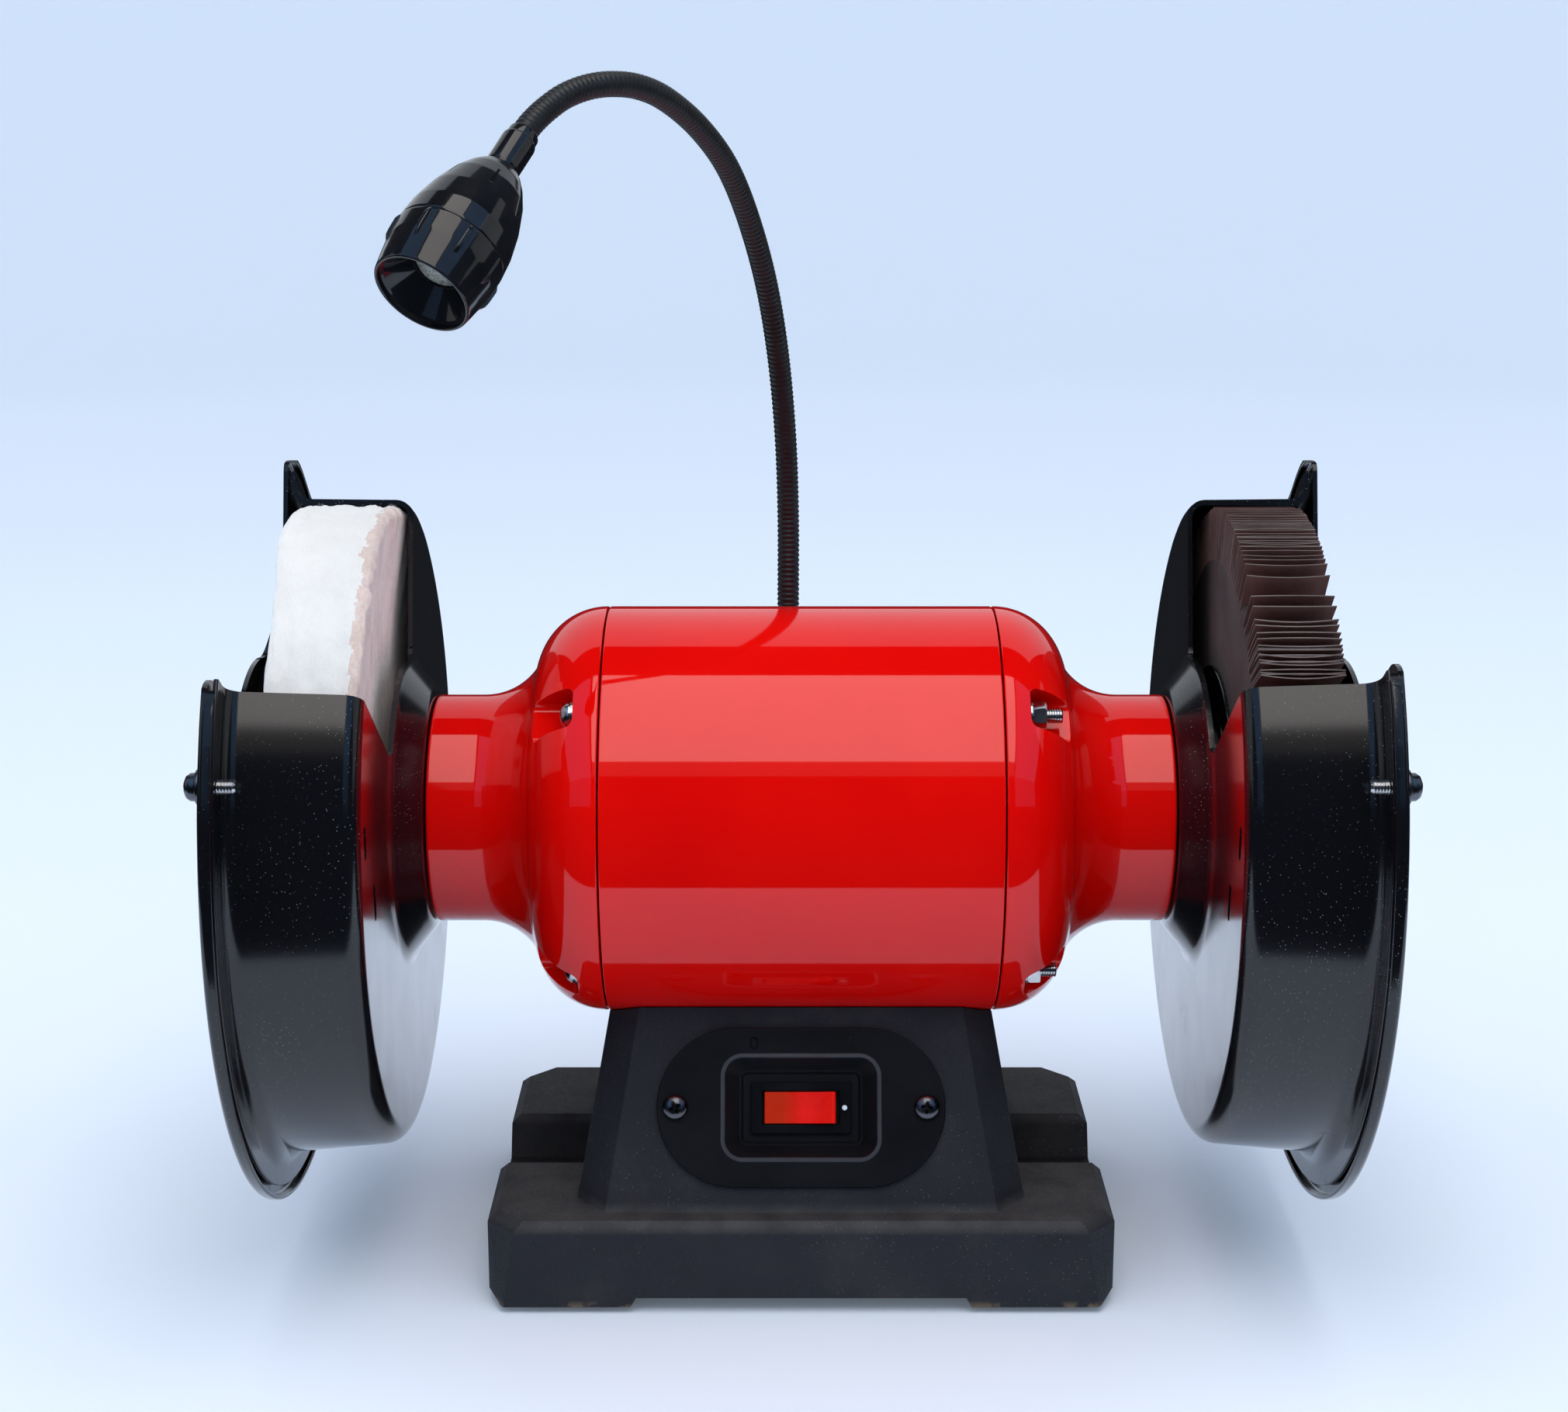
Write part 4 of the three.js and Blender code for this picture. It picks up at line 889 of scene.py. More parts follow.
def make_casting():
    half = BASE_HIGH.x
    front, back, bottom = BASE_LOW.y, BASE_HIGH.y, BASE_LOW.z
    slab = hull([
        *octagon(half - 4.5, front, back, 1, bottom), *octagon(half, front, back, 9, bottom + 2.5),
        *octagon(half, front, back, 9, BASE_TOP - 3), *octagon(half - 3, front + 3, back - 3, 9, BASE_TOP),
    ])
    pedestal = hull([*pedestal_section(BASE_TOP - 6), *pedestal_section(PEDESTAL_TOP)])
    body = combined(slab, [pedestal], "UNION")
    recess_x = tapered_box((112, 400), 0, (106, 400), bottom + RECESS_TOP)
    recess_y = tapered_box((400, 51), 0, (400, 45), bottom + RECESS_TOP)
    saddle = solid_turned([(-150, 0), (-150, CASE_RADIUS + 0.3), (150, CASE_RADIUS + 0.3), (150, 0)], 192)
    cutters = [recess_x, recess_y, moved(saddle, ON_SPINDLE)]
    for side in (-1, 1):
        channel = tapered_box((54, 28), CHANNEL_FLOOR, (60, 43), BASE_TOP + 1)
        cutters.append(moved(channel, shift(side * half, -0.5, 0)))
        hole = prism(round_rect(13, 9, 4.49, 8), -1, 28)
        cutters.append(moved(hole, shift(side * BENCH_HOLE_X, 0, 0)))
    cutters.append(on_panel(prism(round_rect(52.6, 35.3, 6), -7, 12)))
    return eased(combined(body, cutters), 0.9, 20, 3)


def make_base():
    piece("casting", make_casting(), CAST, "base_casting", smooth=30)
    for corner in ("front_left", "front_right", "rear_left", "rear_right"):
        low, high = node_mm(f"rubber_foot_{corner}")
        outline = [(low.z, 0), (low.z, 5), (low.z + 0.3, 5.6), (low.z + 0.3, 6.2), (low.z, 6.8), (low.z, 7.6),
                   *arc(low.z + 1.2, 7.8, 1.2, 180, 90, 5), (high.z, 9), (high.z, 0)]
        centre = (low + high) / 2
        foot = moved(solid_turned(outline, 48), spin(-90, "Y"), shift(centre.x, centre.y, 0))
        piece(f"foot_{corner}", foot, FOOT_RUBBER, f"rubber_foot_{corner}")
    centre = middle_mm("cable_gland")
    outline = [(-9, 3.6), (-9, 6.6), (0.3, 6.6), (0.3, 8.9), (1.2, 9), (5, 9)]
    for i in range(5):
        outline += [(5.4 + 1.4 * i, 8.3 - 0.7 * i), (6.0 + 1.4 * i, 7.4 - 0.7 * i)]
    outline += [(12, 5.4), (12, 3.6)]
    gland = moved(turned(outline, 48), spin(90, "Z"), shift(centre.x, BASE_HIGH.y, centre.z))
    piece("gland", gland, FOOT_RUBBER, "cable_gland")


# ---------- switch
PLATE_TOP = 1.9
PLATE_SCREW_X = 40.7
DOT_X = 14.2
TUB_FLOOR = PLATE_TOP - 6.5
BEZEL_TOP = TUB_FLOOR + 2.1


def make_plate():
    sections = [
        (93.1, 50.8, 25.4, 0.3), (93.5, 51.2, 25.6, 0.5), (93.5, 51.2, 25.6, PLATE_TOP - 0.5),
        (93.0, 50.7, 25.3, PLATE_TOP - 0.1), (92.3, 50.0, 25.0, PLATE_TOP),
        (52.0, 34.7, 7.2, PLATE_TOP), (50.6, 33.3, 6.4, PLATE_TOP + 0.12),
        (49.9, 32.6, 6.0, PLATE_TOP + 0.12), (49.2, 31.9, 5.6, PLATE_TOP - 0.2),
        (40.6, 24.8, 3.0, TUB_FLOOR + 1.4), (40.0, 24.2, 2.7, TUB_FLOOR + 1.1),
        (39.0, 23.2, 2.2, TUB_FLOOR + 1.1), (38.4, 22.6, 1.9, TUB_FLOOR + 0.8), (37.4, 21.6, 1.5, TUB_FLOOR),
        (28.0, 13.8, 0.4, TUB_FLOOR), (28.0, 13.8, 0.4, TUB_FLOOR - 1.4), (40.0, 24.4, 2.0, TUB_FLOOR - 1.4),
        (51.8, 34.5, 6.4, 0.3),
    ]
    plate = loft(round_rect_rings(sections, 12), loop=True)
    # Faces on the lips get the second material, whose lighter colour is a painted highlight.
    for face in plate.faces:
        centre = face.calc_center_median()
        in_recess = abs(centre.x) < 25.1 and abs(centre.y) < 16.8
        highlit_lip = centre.z > PLATE_TOP + 0.02 or (in_recess and centre.z > PLATE_TOP - 0.06)
        face.material_index = 1 if highlit_lip else 0
    return plate


def make_marks():
    """The moulded off and on marks: a ring and a bar."""
    mark_up, ring_x, bar_x = 20.6, -15.2, 16
    foot, top = PLATE_TOP - 0.1, PLATE_TOP + 0.22
    sizes = [(2.9, 4.1, foot), (2.7, 3.9, top), (1.7, 2.9, top), (1.5, 2.7, foot)]
    rings = round_rect_rings([(w, h, w / 2 - 0.01, z) for w, h, z in sizes], 8)
    ring = moved(loft(rings, loop=True), shift(ring_x, mark_up, 0))
    bar = rounded_box((0.7, 3.9, 0.6), 0.2, (bar_x, mark_up, PLATE_TOP), 2)
    return joined(ring, bar)


def make_rocker():
    """The rocker's side outline, hollow on top, carried across its width and tipped to off."""
    top = [(-12, 2.1), (-9, 1.35), (-6, 0.75), (-3, 0.25), (0, 0.0), (3, 0.15), (6, 0.6), (8.4, 1.25)]
    top += [(10.6, 1.95), (12, 2.1)]
    below = [(11, -1.4), (0, -4.9), (-11, -1.4)]
    outline = rounded(top + below, [0.5] + [0] * 8 + [1.0, 0.5, 2, 0.5], 4)
    bm = moved(prism(outline, -5.05, 5.05), spin(90, "X"), spin(-10, "Y"))
    return on_panel(eased(bm, 0.35, 40, 3), BEZEL_TOP - 0.1)


def make_switch():
    plate = on_panel(make_plate())
    piece("panel_plate", plate, [PLASTIC, LIP_HIGHLIGHT_AND_POLISH], "switch_plate")
    piece("panel_marks", on_panel(make_marks()), SHINY)
    sections = [
        (32.7, 16.8, 0.9, TUB_FLOOR + 0.3), (32.7, 16.8, 0.9, BEZEL_TOP - 0.5), (32.1, 16.2, 0.7, BEZEL_TOP),
        (25.6, 11.1, 0.4, BEZEL_TOP), (25.2, 10.8, 0.3, BEZEL_TOP - 0.3), (25.2, 10.8, 0.3, BEZEL_TOP - 10),
        (27.2, 13.0, 0.4, BEZEL_TOP - 10), (27.2, 13.0, 0.4, TUB_FLOOR + 0.3),
    ]
    back = rounded_box((27.2, 13, 9), 0.5, (0, 0, BEZEL_TOP - 15), 2)
    body = joined(loft(round_rect_rings(sections, 6), loop=True), back)
    piece("switch_bezel", on_panel(body), SHINY, "switch_body")
    piece("rocker", make_rocker(), ROCKER_RED, "switch_rocker", "rocker")
    dot = solid_turned([(0, 0), (0, 0.85), (0.12, 0.8), (0.15, 0)], 24)
    dot = moved(dot, spin(-90, "Y"), shift(DOT_X, 0, BEZEL_TOP))
    piece("switch_dot", on_panel(dot), WHITE_MARK)
    for name, degrees in {"left": 24, "right": -8}.items():
        up = shift(SIDES[name] * PLATE_SCREW_X, 0, PLATE_TOP + 0.05)
        screw = moved(pan_screw(1.9, 4.15, 2.4, 8), spin(degrees, "X"), spin(-90, "Y"), up)
        node = f"switch_plate_screw_{name}"
        piece(f"plate_screw_{name}", on_panel(screw), BLACK_STEEL, node)


# ---------- wheels
WHEEL_RADIUS = 100
BUFF_FROM, BUFF_TO = 134.5, 161
BUFF_CORNER = 3.2
TUFTS = 5200
PLIES_REACH = 131.7  # as far as the loose plies come towards the motor
FLAP_FROM, FLAP_TO = 137, 163
FLAP_HUB = 46
BORE = 8.3
FLANGE = 30


def rim_crown(across):
    """How far the buff's face stands above its corners: flat, with a tight round at each side."""
    half = (BUFF_TO - BUFF_FROM) / 2
    into = max(0.0, (abs(across) * half - (half - BUFF_CORNER)) / BUFF_CORNER)
    return BUFF_CORNER * math.sqrt(1 - min(1.0, into) ** 2)


def make_buff():
    """A thick stack of cotton plies: wavy sides that bulge near the rim, and a face of ply edges."""
    steps = 420  # round the wheel
    sides = 26  # from the bore to the face
    rim = 40  # across the face
    bore = 8.4
    middle = (BUFF_FROM + BUFF_TO) / 2
    half = (BUFF_TO - BUFF_FROM) / 2
    flat = WHEEL_RADIUS - BUFF_CORNER
    inner = [(-1, bore + (flat - bore) * i / sides) for i in range(sides + 1)]
    face = [(-math.cos(math.pi * i / rim), None) for i in range(1, rim)]
    outer = [(1, flat - (flat - bore) * i / sides) for i in range(sides + 1)]
    rings = []
    for lean, radius in inner + face + outer:
        ring = []
        for j in range(steps):
            turn = 2 * math.pi * j / steps
            c, s = math.cos(turn), math.sin(turn)
            reach = flat + rim_crown(lean) if radius is None else radius
            swell = max(0.0, (reach - 45) / 55) ** 1.6
            wave = noise.noise(Vector((c * 2.1, s * 2.1, 3.0 + lean * 0.25)))
            fine = noise.noise(Vector((c * 9, s * 9, 9.0 + lean * 1.3)))
            crease = noise.noise(Vector((c * 17, s * 17, reach * 0.02)))
            splay = max(0.0, -lean) * swell * (1.6 + 1.7 * crease)
            degrees = math.degrees(turn)
            at_top = smooth_step(42, 88, degrees) * (1 - smooth_step(105, 160, degrees))
            splay -= max(0.0, lean) * swell * 4.6 * at_top
            x = middle + lean * half * (0.80 + 0.24 * swell) + swell * (1.5 * wave + 0.5 * fine) - splay
            x = min(BUFF_TO + 4, max(PLIES_REACH, x))
            ply = noise.noise(Vector((c * 26, s * 26, x * 0.95)))
            edge = noise.noise(Vector((c * 5, s * 5, x * 0.25)))
            rough = swell * (0.55 * ply + 1.0 * edge)
            fold = 0.0 if radius is None else 0.8 * swell * noise.noise(Vector((c * 14, s * 14, lean)))
            reach = min(WHEEL_RADIUS + 0.6, reach + rough)
            ring.append((-(x + lean * fold), -reach * c, reach * s))
        rings.append(ring)
    bm = loft(rings, loop=True)
    for spot in bm.faces:
        centre = spot.calc_center_median()
        reach = math.hypot(centre.y, centre.z)
        ragged = noise.noise(centre * 0.2)
        on_rim = reach > 95.5 + 1.5 * ragged and -centre.x > BUFF_FROM + 1.5 + 2.5 * ragged
        spot.material_index = 0 if on_rim else 1
    return moved(bm, ON_SPINDLE)


def tuft(bm, root, out, length, width, curl):
    """One loose fibre: a thin ribbon that bends."""
    segments = 3
    across = out.cross(Vector((RNG.uniform(-1, 1), RNG.uniform(-1, 1), RNG.uniform(-1, 1)))).normalized()
    bend = out.cross(across)
    before = None
    for i in range(segments + 1):
        share = i / segments
        place = root + out * length * share + bend * curl * share * share
        half = across * width * (1 - 0.7 * share) / 2
        pair = (bm.verts.new(place - half), bm.verts.new(place + half))
        if before:
            bm.faces.new((before[0], before[1], pair[1], pair[0]))
        before = pair


def make_buff_fringe():
    """Loose fibres: most stand at the face's two edges, and the rest are short ones on the face."""
    middle, half = 147.2, 12.8
    bm = bmesh.new()
    for _ in range(TUFTS):
        turn = RNG.uniform(0, 2 * math.pi)
        edge = RNG.random() < 0.62
        across = RNG.choice((-1, 1)) * RNG.uniform(0.8, 0.97) if edge else RNG.uniform(-0.9, 0.9)
        crown = WHEEL_RADIUS - BUFF_CORNER - 0.8 + rim_crown(across)
        length = RNG.uniform(0.8, 2.6) if edge else RNG.uniform(0.3, 0.8)
        reach = min(crown, WHEEL_RADIUS + 1.6 - length)
        radial = Vector((0, -math.cos(turn), math.sin(turn)))
        sideways = Vector((-across * (0.9 if edge else 0.1), 0, 0))
        out = radial + sideways + radial.cross(Vector((1, 0, 0))) * RNG.uniform(-0.6, 0.6)
        root = Vector((-(middle + across * half), 0, 0)) + radial * reach
        tuft(bm, root, out.normalized(), length, 0.09, RNG.uniform(-0.8, 0.8))
    return moved(bm, ON_SPINDLE)


def leaf_angles():
    """Where each leaf stands: dense bunches with a few single leaves between, as a worn wheel spreads."""
    angles = [38.9 + 0.62 * i for i in range(12)]
    angles += [46.6, 47.9, 49.3, 50.2, 54.0, 56.6, 61.2, 64.8, 66.9, 68.4, 69.6]
    turn = 70.4
    while turn < 358 + angles[0]:
        angles.append(turn)
        bunch = noise.noise(Vector((turn * 0.09, 4.2, 0)))
        loose = 1.1 + max(0.0, bunch) * 3 + RNG.uniform(-0.15, 0.3)
        turn += RNG.uniform(0.58, 0.72) if turn < 128 else loose
    return angles


def make_leaf(bm, degrees, lean, bow, tip):
    """A thin abrasive leaf from the hub to the rim, leaning back and bowed across its width."""
    steps, across, thick = 9, 6, 0.42
    rows = []
    for i in range(steps + 1):
        share = i / steps
        reach = FLAP_HUB - 2 + (tip - FLAP_HUB + 2) * share
        turn = math.radians(degrees) - lean * share ** 1.4
        row = []
        for side in (0, 1):
            half_row = []
            for j in range(across + 1):
                width = j / across
                x = FLAP_FROM + 0.2 + (FLAP_TO - FLAP_FROM - 0.4) * width
                bowed = turn + bow * share * (width - 0.5) ** 2 + (side - 0.5) * thick / reach
                half_row.append(Vector((x, -reach * math.cos(bowed), reach * math.sin(bowed))))
            row.append(half_row)
        rows.append([bm.verts.new(p) for p in row[0] + row[1][::-1]])
    for one, two in zip(rows, rows[1:]):
        for k in range(len(one)):
            m = (k + 1) % len(one)
            strip = bm.faces.new((one[k], one[m], two[m], two[k]))
            strip.material_index = 1 if k in (across, len(one) - 1) else 0
    bm.faces.new(rows[-1]).material_index = 1
    bm.faces.new(rows[0][::-1])


def make_leaves():
    bm = bmesh.new()
    for degrees in leaf_angles():
        tip = WHEEL_RADIUS - RNG.uniform(0.05, 0.9)
        make_leaf(bm, degrees + 5.7, 0.10 + RNG.uniform(-0.008, 0.008), RNG.uniform(-0.02, 0.05), tip)
    bmesh.ops.recalc_face_normals(bm, faces=bm.faces)
    return moved(bm, ON_SPINDLE)


def leaf_roots():
    """The bonded part of the leaves, smooth at its sides."""
    start, end = FLAP_FROM + 0.08, FLAP_TO - 0.08
    outline = [(start, 45), (start, 82), (start + 1.2, 86), (end - 1.2, 86), (end, 82), (end, 45)]
    return moved(turned(outline, 96), ON_SPINDLE)


def flap_hub():
    """The wheel's hub: a drum under the leaves with a dished plate on each side."""
    start, end = FLAP_FROM, FLAP_TO
    outline = [
        (start, BORE), (start, 30), (start - 1.6, 40), (start - 1.2, 47.5), (start + 1.2, 47.5),
        (start + 1.4, 43), (end - 1.4, 43), (end - 1.2, 47.5), (end + 0.6, 47.5), (end, 30), (end, BORE),
    ]
    radii = [0, 4, 4, 0.6, 0.6, 0, 0, 0.6, 0.6, 4, 0]
    return moved(turned(rounded(outline, radii, 4), 96), ON_SPINDLE)


def inner_flange(start, end, side):
    back, hub = end - 4.2, 14
    outline = [(start, BORE), (start, hub), (back, hub + 1), (back, FLANGE), (end, FLANGE), (end, BORE)]
    return moved(turned(rounded(outline, [0, 0.8, 2.5, 1.4, 0.6, 0], 4), 72, side), ON_SPINDLE)


def outer_flange(start, side):
    outline = [(start, BORE), (start, FLANGE), (start + 1.7, FLANGE), (start + 4.2, 22), (start + 4.2, BORE)]
    return moved(turned(rounded(outline, [0, 0.5, 1, 1.5, 0], 4), 72, side), ON_SPINDLE)


def make_wheels():
    piece("cloth_buff", make_buff(), [WHITE_CLOTH, PINK_CLOTH], "buff_wheel", "spindle", 60)
    piece("buff_fringe", make_buff_fringe(), WHITE_CLOTH, body="spindle", smooth=180)
    looks = [LEAF_FACE, LEAF_EDGE]
    piece("flap_leaves", make_leaves(), looks, "flap_wheel_leaves", "spindle", 40)
    piece("flap_roots", leaf_roots(), LEAF_ROOT, body="spindle")
    piece("flap_hub", flap_hub(), BLACK, "flap_wheel_hub", "spindle")
    ends = {"left": (BUFF_FROM, BUFF_TO), "right": (FLAP_FROM, FLAP_TO)}
    for name, side in SIDES.items():
        start, end = ends[name]
        inner = inner_flange(122.4, start - 0.3, side)
        piece(f"{name}_flange_inner", inner, ZINC, f"{name}_inner_flange", "spindle")
        outer = outer_flange(end + 0.3, side)
        piece(f"{name}_flange_outer", outer, ZINC, f"{name}_outer_flange", "spindle")
        low, high = node_mm(f"{name}_spindle_nut")
        at = low.x if side > 0 else high.x
        nut = moved(hex_body(24, 9.6, 8.2), spin(90 - 90 * side, "Z"), shift(at, 0, SPINDLE_Z))
        piece(f"{name}_nut", nut, ZINC, f"{name}_spindle_nut", "spindle")


# ---------- lamp
ROUTE = [
    (-4, 84, 14), (-4, 84, 22), (-4, 85, 51), (-4, 88, 83), (-5, 85, 112), (-7.5, 78, 141), (-11.5, 66, 167),
    (-17.3, 50, 190), (-24, 32, 208), (-32.5, 13, 221), (-42, -4, 230), (-50, -15, 234), (-57.6, -24, 235),
    (-64.4, -30.5, 234.2), (-70.9, -37, 231.7), (-76.5, -43, 227.6), (-80.5, -49.2, 223.4),
    (-82.6, -52.8, 220),
]
HEAD_NOSE = Vector((-88, -62, SPINDLE_Z + 211))
HEAD_WAY = Vector((-20, -34, -33)).normalized()
HEAD_OUTLINE = [  # how far from the nose, and the radius there
    (0, 5.5), (2, 7.4), (5, 9.5), (10, 12.0), (18, 14.65), (26, 16.3), (33, 16.9), (40, 16.6), (47, 15.5),
    (51, 14.8),
]
HEAD_SPLIT = 33  # where the shell ends and the bezel starts
LENS_RADIUS = 7.4
TUBE_RADIUS = 3.95
RIB_PITCH = 1.75
RIB_RISE = [0.0, 0.10, 0.30, 0.30, 0.10]  # over one rib's pitch


def smooth_route(points, spacing):
    """Evenly spaced points along a Catmull-Rom curve through the given ones."""
    knots = [Vector((x, y, z + SPINDLE_Z)) for x, y, z in points]
    fine = []
    for i in range(len(knots) - 1):
        p0, p1 = knots[max(0, i - 1)], knots[i]
        p2, p3 = knots[i + 1], knots[min(len(knots) - 1, i + 2)]
        for j in range(40):
            t = j / 40
            fine.append(0.5 * ((2 * p1) + (p2 - p0) * t + (2 * p0 - 5 * p1 + 4 * p2 - p3) * t * t
                               + (3 * p1 - p0 - 3 * p2 + p3) * t ** 3))
    fine.append(knots[-1])
    made, left = [fine[0]], spacing
    for one, two in zip(fine, fine[1:]):
        step = (two - one).length
        while step >= left:
            made.append(one.lerp(two, left / step))
            one, step, left = made[-1], step - left, spacing
        left -= step
    return made


def swept_rings(line, radius_at):
    """Rings across a line, carried along it without twisting."""
    sides = 20
    rings = []
    across = Vector((1, 0, 0))
    for i, place in enumerate(line):
        way = (line[min(i + 1, len(line) - 1)] - line[max(i - 1, 0)]).normalized()
        across = (across - way * across.dot(way)).normalized()
        third = way.cross(across)
        radius = radius_at(i)
        turns = [2 * math.pi * k / sides for k in range(sides)]
        rings.append([place + (across * math.cos(t) + third * math.sin(t)) * radius for t in turns])
    return rings


def make_gooseneck():
    """The ribbed sleeve, in three stretches that each take in one of the gooseneck's joints."""
    spacing = RIB_PITCH / len(RIB_RISE)
    line = smooth_route(ROUTE, spacing)
    rings = swept_rings(line, lambda i: TUBE_RADIUS - 0.32 + RIB_RISE[i % len(RIB_RISE)])
    joints = {j["name"]: Vector(j["pos_m"]) / MM for j in frame["joints"] if "pos_m" in j}
    pivots = [joints[f"gooseneck_{n}"] for n in ("sway", "lean", "curl")]
    nearest = [min(range(len(line)), key=lambda i, p=p: (line[i] - p).length) for p in pivots]
    cuts = [0, *[(one + two) // 2 for one, two in zip(nearest, nearest[1:])], len(line) - 1]
    bodies = ["grinder_frame", "gooseneck_root", "gooseneck_arch", "lamp_head"]
    nodes = ["gooseneck_lower", "gooseneck_middle", "gooseneck_upper"]
    for i, (one, two) in enumerate(zip(bodies, bodies[1:])):
        stretch = rings[cuts[i]:cuts[i + 1] + 1]
        name = f"gooseneck_sleeve_{i + 1}"
        made = piece(name, loft(stretch), SLEEVE, nodes[i], None, 60)
        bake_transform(made)


def along_head(bm):
    turn = Vector((1, 0, 0)).rotation_difference(HEAD_WAY).to_matrix().to_4x4()
    return moved(bm, turn, Matrix.Translation(HEAD_NOSE))


def head_radius(t):
    """The lamp head's outer radius, t millimetres from its nose."""
    for (t0, r0), (t1, r1) in zip(HEAD_OUTLINE, HEAD_OUTLINE[1:]):
        if t <= t1:
            return r0 + (r1 - r0) * (t - t0) / (t1 - t0)
    return HEAD_OUTLINE[-1][1]


def rib_on_head(start, end, height, width, degrees):
    """A raised rib that follows the head's outline."""
    rings = []
    for share in [i / 10 for i in range(11)]:
        t = between(start, end, share)
        ease = min(1.0, share * 6, (1 - share) * 6)
        top = head_radius(t) + height * ease
        half = width / 2
        left = [(-half, head_radius(t) - 0.5), (-half * 0.85, top - 0.15), (-half * 0.5, top)]
        right = [(-across, up) for across, up in reversed(left)]
        rings.append([(t, across, up) for across, up in left + right])
    return moved(loft(rings), spin(degrees, "X"))


def head_shell():
    back = [(t, head_radius(t)) for t in [0.4 * k for k in range(1, 82)]]
    inside = [(HEAD_SPLIT - 0.1, 16.75), (HEAD_SPLIT - 0.1, 15), (20, 12.5), (6, 6), (3, 2.6)]
    shell = turned([(0, 2.6), (0, 5.0), *back, *inside], 96)
    tilt = Matrix.Rotation(-math.atan2(head_radius(20) - head_radius(10), 10), 4, "Y")
    place = shift(11, 0, head_radius(11) + 1.4)
    slots = [moved(box((7.5, 0.7, 4)), tilt, place, spin(60 * k + 20, "X")) for k in range(6)]
    return eased(combined(shell, slots), 0.2, 45)


def head_bezel():
    side = [(t, head_radius(t)) for t in [33.3 + 0.6 * k for k in range(29)]]
    lip = [*arc(50.4, 14.3, 0.6, 70, -60, 6), (44, 13.9)]
    bezel = turned([(HEAD_SPLIT + 0.1, 15.1), (HEAD_SPLIT + 0.1, 16.75), *side, *lip], 96)
    return joined(bezel, *[rib_on_head(33.4, 43.5, 0.85, 1.3, 45 * k + 12) for k in range(8)])


def head_reflector():
    cone = [(49.2, 13.85), (48.6, 13.1), (41, 7.7), (38, 7.7), (38, 13.8)]
    return turned(rounded(cone, [0.1, 0.3, 0.2, 0, 0], 3), 72)


def head_collar():
    cup = [(-15.8, 0), (-15.8, 4.3), (-15.2, 4.7), (-12.6, 4.8), (-12.2, 5.2)]
    return solid_turned([*cup, (-11.6, 5.35), (-1.2, 5.3), (-0.6, 5.0), (0.6, 4.9), (0.6, 0)], 48)


def head_lens():
    """A round lens covered in small bumps."""
    bm = bmesh.new()
    bmesh.ops.create_grid(bm, x_segments=44, y_segments=44, size=LENS_RADIUS)
    for v in list(bm.verts):
        square = v.co.copy()
        big = max(abs(square.x), abs(square.y))
        if big > 0:
            scale = big / math.hypot(square.x, square.y)
            v.co.x, v.co.y = square.x * scale, square.y * scale
        pattern = math.sin(square.x * 4.2) * math.sin(square.y * 4.2 + 0.5 * math.sin(square.x * 2))
        v.co.z = 0.3 * pattern + 3.2 * (1 - (big / LENS_RADIUS) ** 2)
    edges = [e for e in bm.edges if e.is_boundary]
    made = bmesh.ops.extrude_edge_only(bm, edges=edges)
    rim = [v for v in made["geom"] if isinstance(v, bmesh.types.BMVert)]
    for v in rim:
        v.co.z = -3
    bmesh.ops.contextual_create(bm, geom=[e for e in bm.edges if e.is_boundary])
    bmesh.ops.recalc_face_normals(bm, faces=bm.faces)
    return moved(bm, spin(90, "Y"), shift(40, 0, 0))


def make_lamp_head():
    for name, bm in (("shell", head_shell()), ("bezel", head_bezel()), ("reflector", head_reflector())):
        piece(f"head_{name}", along_head(bm), SHINY, f"lamp_{name}", "lamp_head")
    piece("head_lens", along_head(head_lens()), LENS, "lamp_lens", "lamp_head", 60)
    piece("head_collar", along_head(head_collar()), SHINY, "lamp_collar", "lamp_head")


def make_lamp():
    low, high = node_mm("lamp_bracket")
    low.y = 66  # inside the motor case, which the saddle takes away
    block = rounded_box(high - low, 2.5, (low + high) / 2)
    saddle = solid_turned([(-60, 0), (-60, CASE_RADIUS + 0.2), (60, CASE_RADIUS + 0.2), (60, 0)], 160)
    bracket = combined(block, [moved(saddle, ON_SPINDLE)])
    piece("lamp_block", bracket, PLASTIC, "lamp_bracket", smooth=30)
    low, high = node_mm("gooseneck_nut")
    centre = (low + high) / 2
    cap = turned(rounded([(6, 4.3), (6, 7), (9, 5.8), (9, 4.3)], [0, 0.8, 0.8, 0], 4), 48)
    gland = moved(joined(hex_body(15, 6, 4.3), cap), spin(-90, "Y"), shift(centre.x, centre.y, low.z))
    piece("gooseneck_gland", gland, PLASTIC, "gooseneck_nut")
    make_gooseneck()
    make_lamp_head()


# ---------- pieces that stay as the CAD made them
def dress_nodes():
    looks = {
        "stator_core": LAMINATION, "rotor_core": LAMINATION, "left_winding": COPPER, "right_winding": COPPER,
        "left_bearing": STEEL, "right_bearing": STEEL, "spindle_shaft": STEEL, "capacitor": PLASTIC,
        "base_plate": ZINC,
    }
    for name, material in looks.items():
        data = frame["nodes"][name].data
        data.materials.clear()
        data.materials.append(material)


# ---------- stage
def world_light():
    """A dim, even surround: the big soft light and the cove's painted glow do the rest."""
    world = bpy.data.worlds.new("studio")
    bpy.context.scene.world = world
    world.use_nodes = True
    background = world.node_tree.nodes["Background"]
    background.inputs["Color"].default_value = (0.70, 0.80, 1.0, 1)
    background.inputs["Strength"].default_value = 0.02


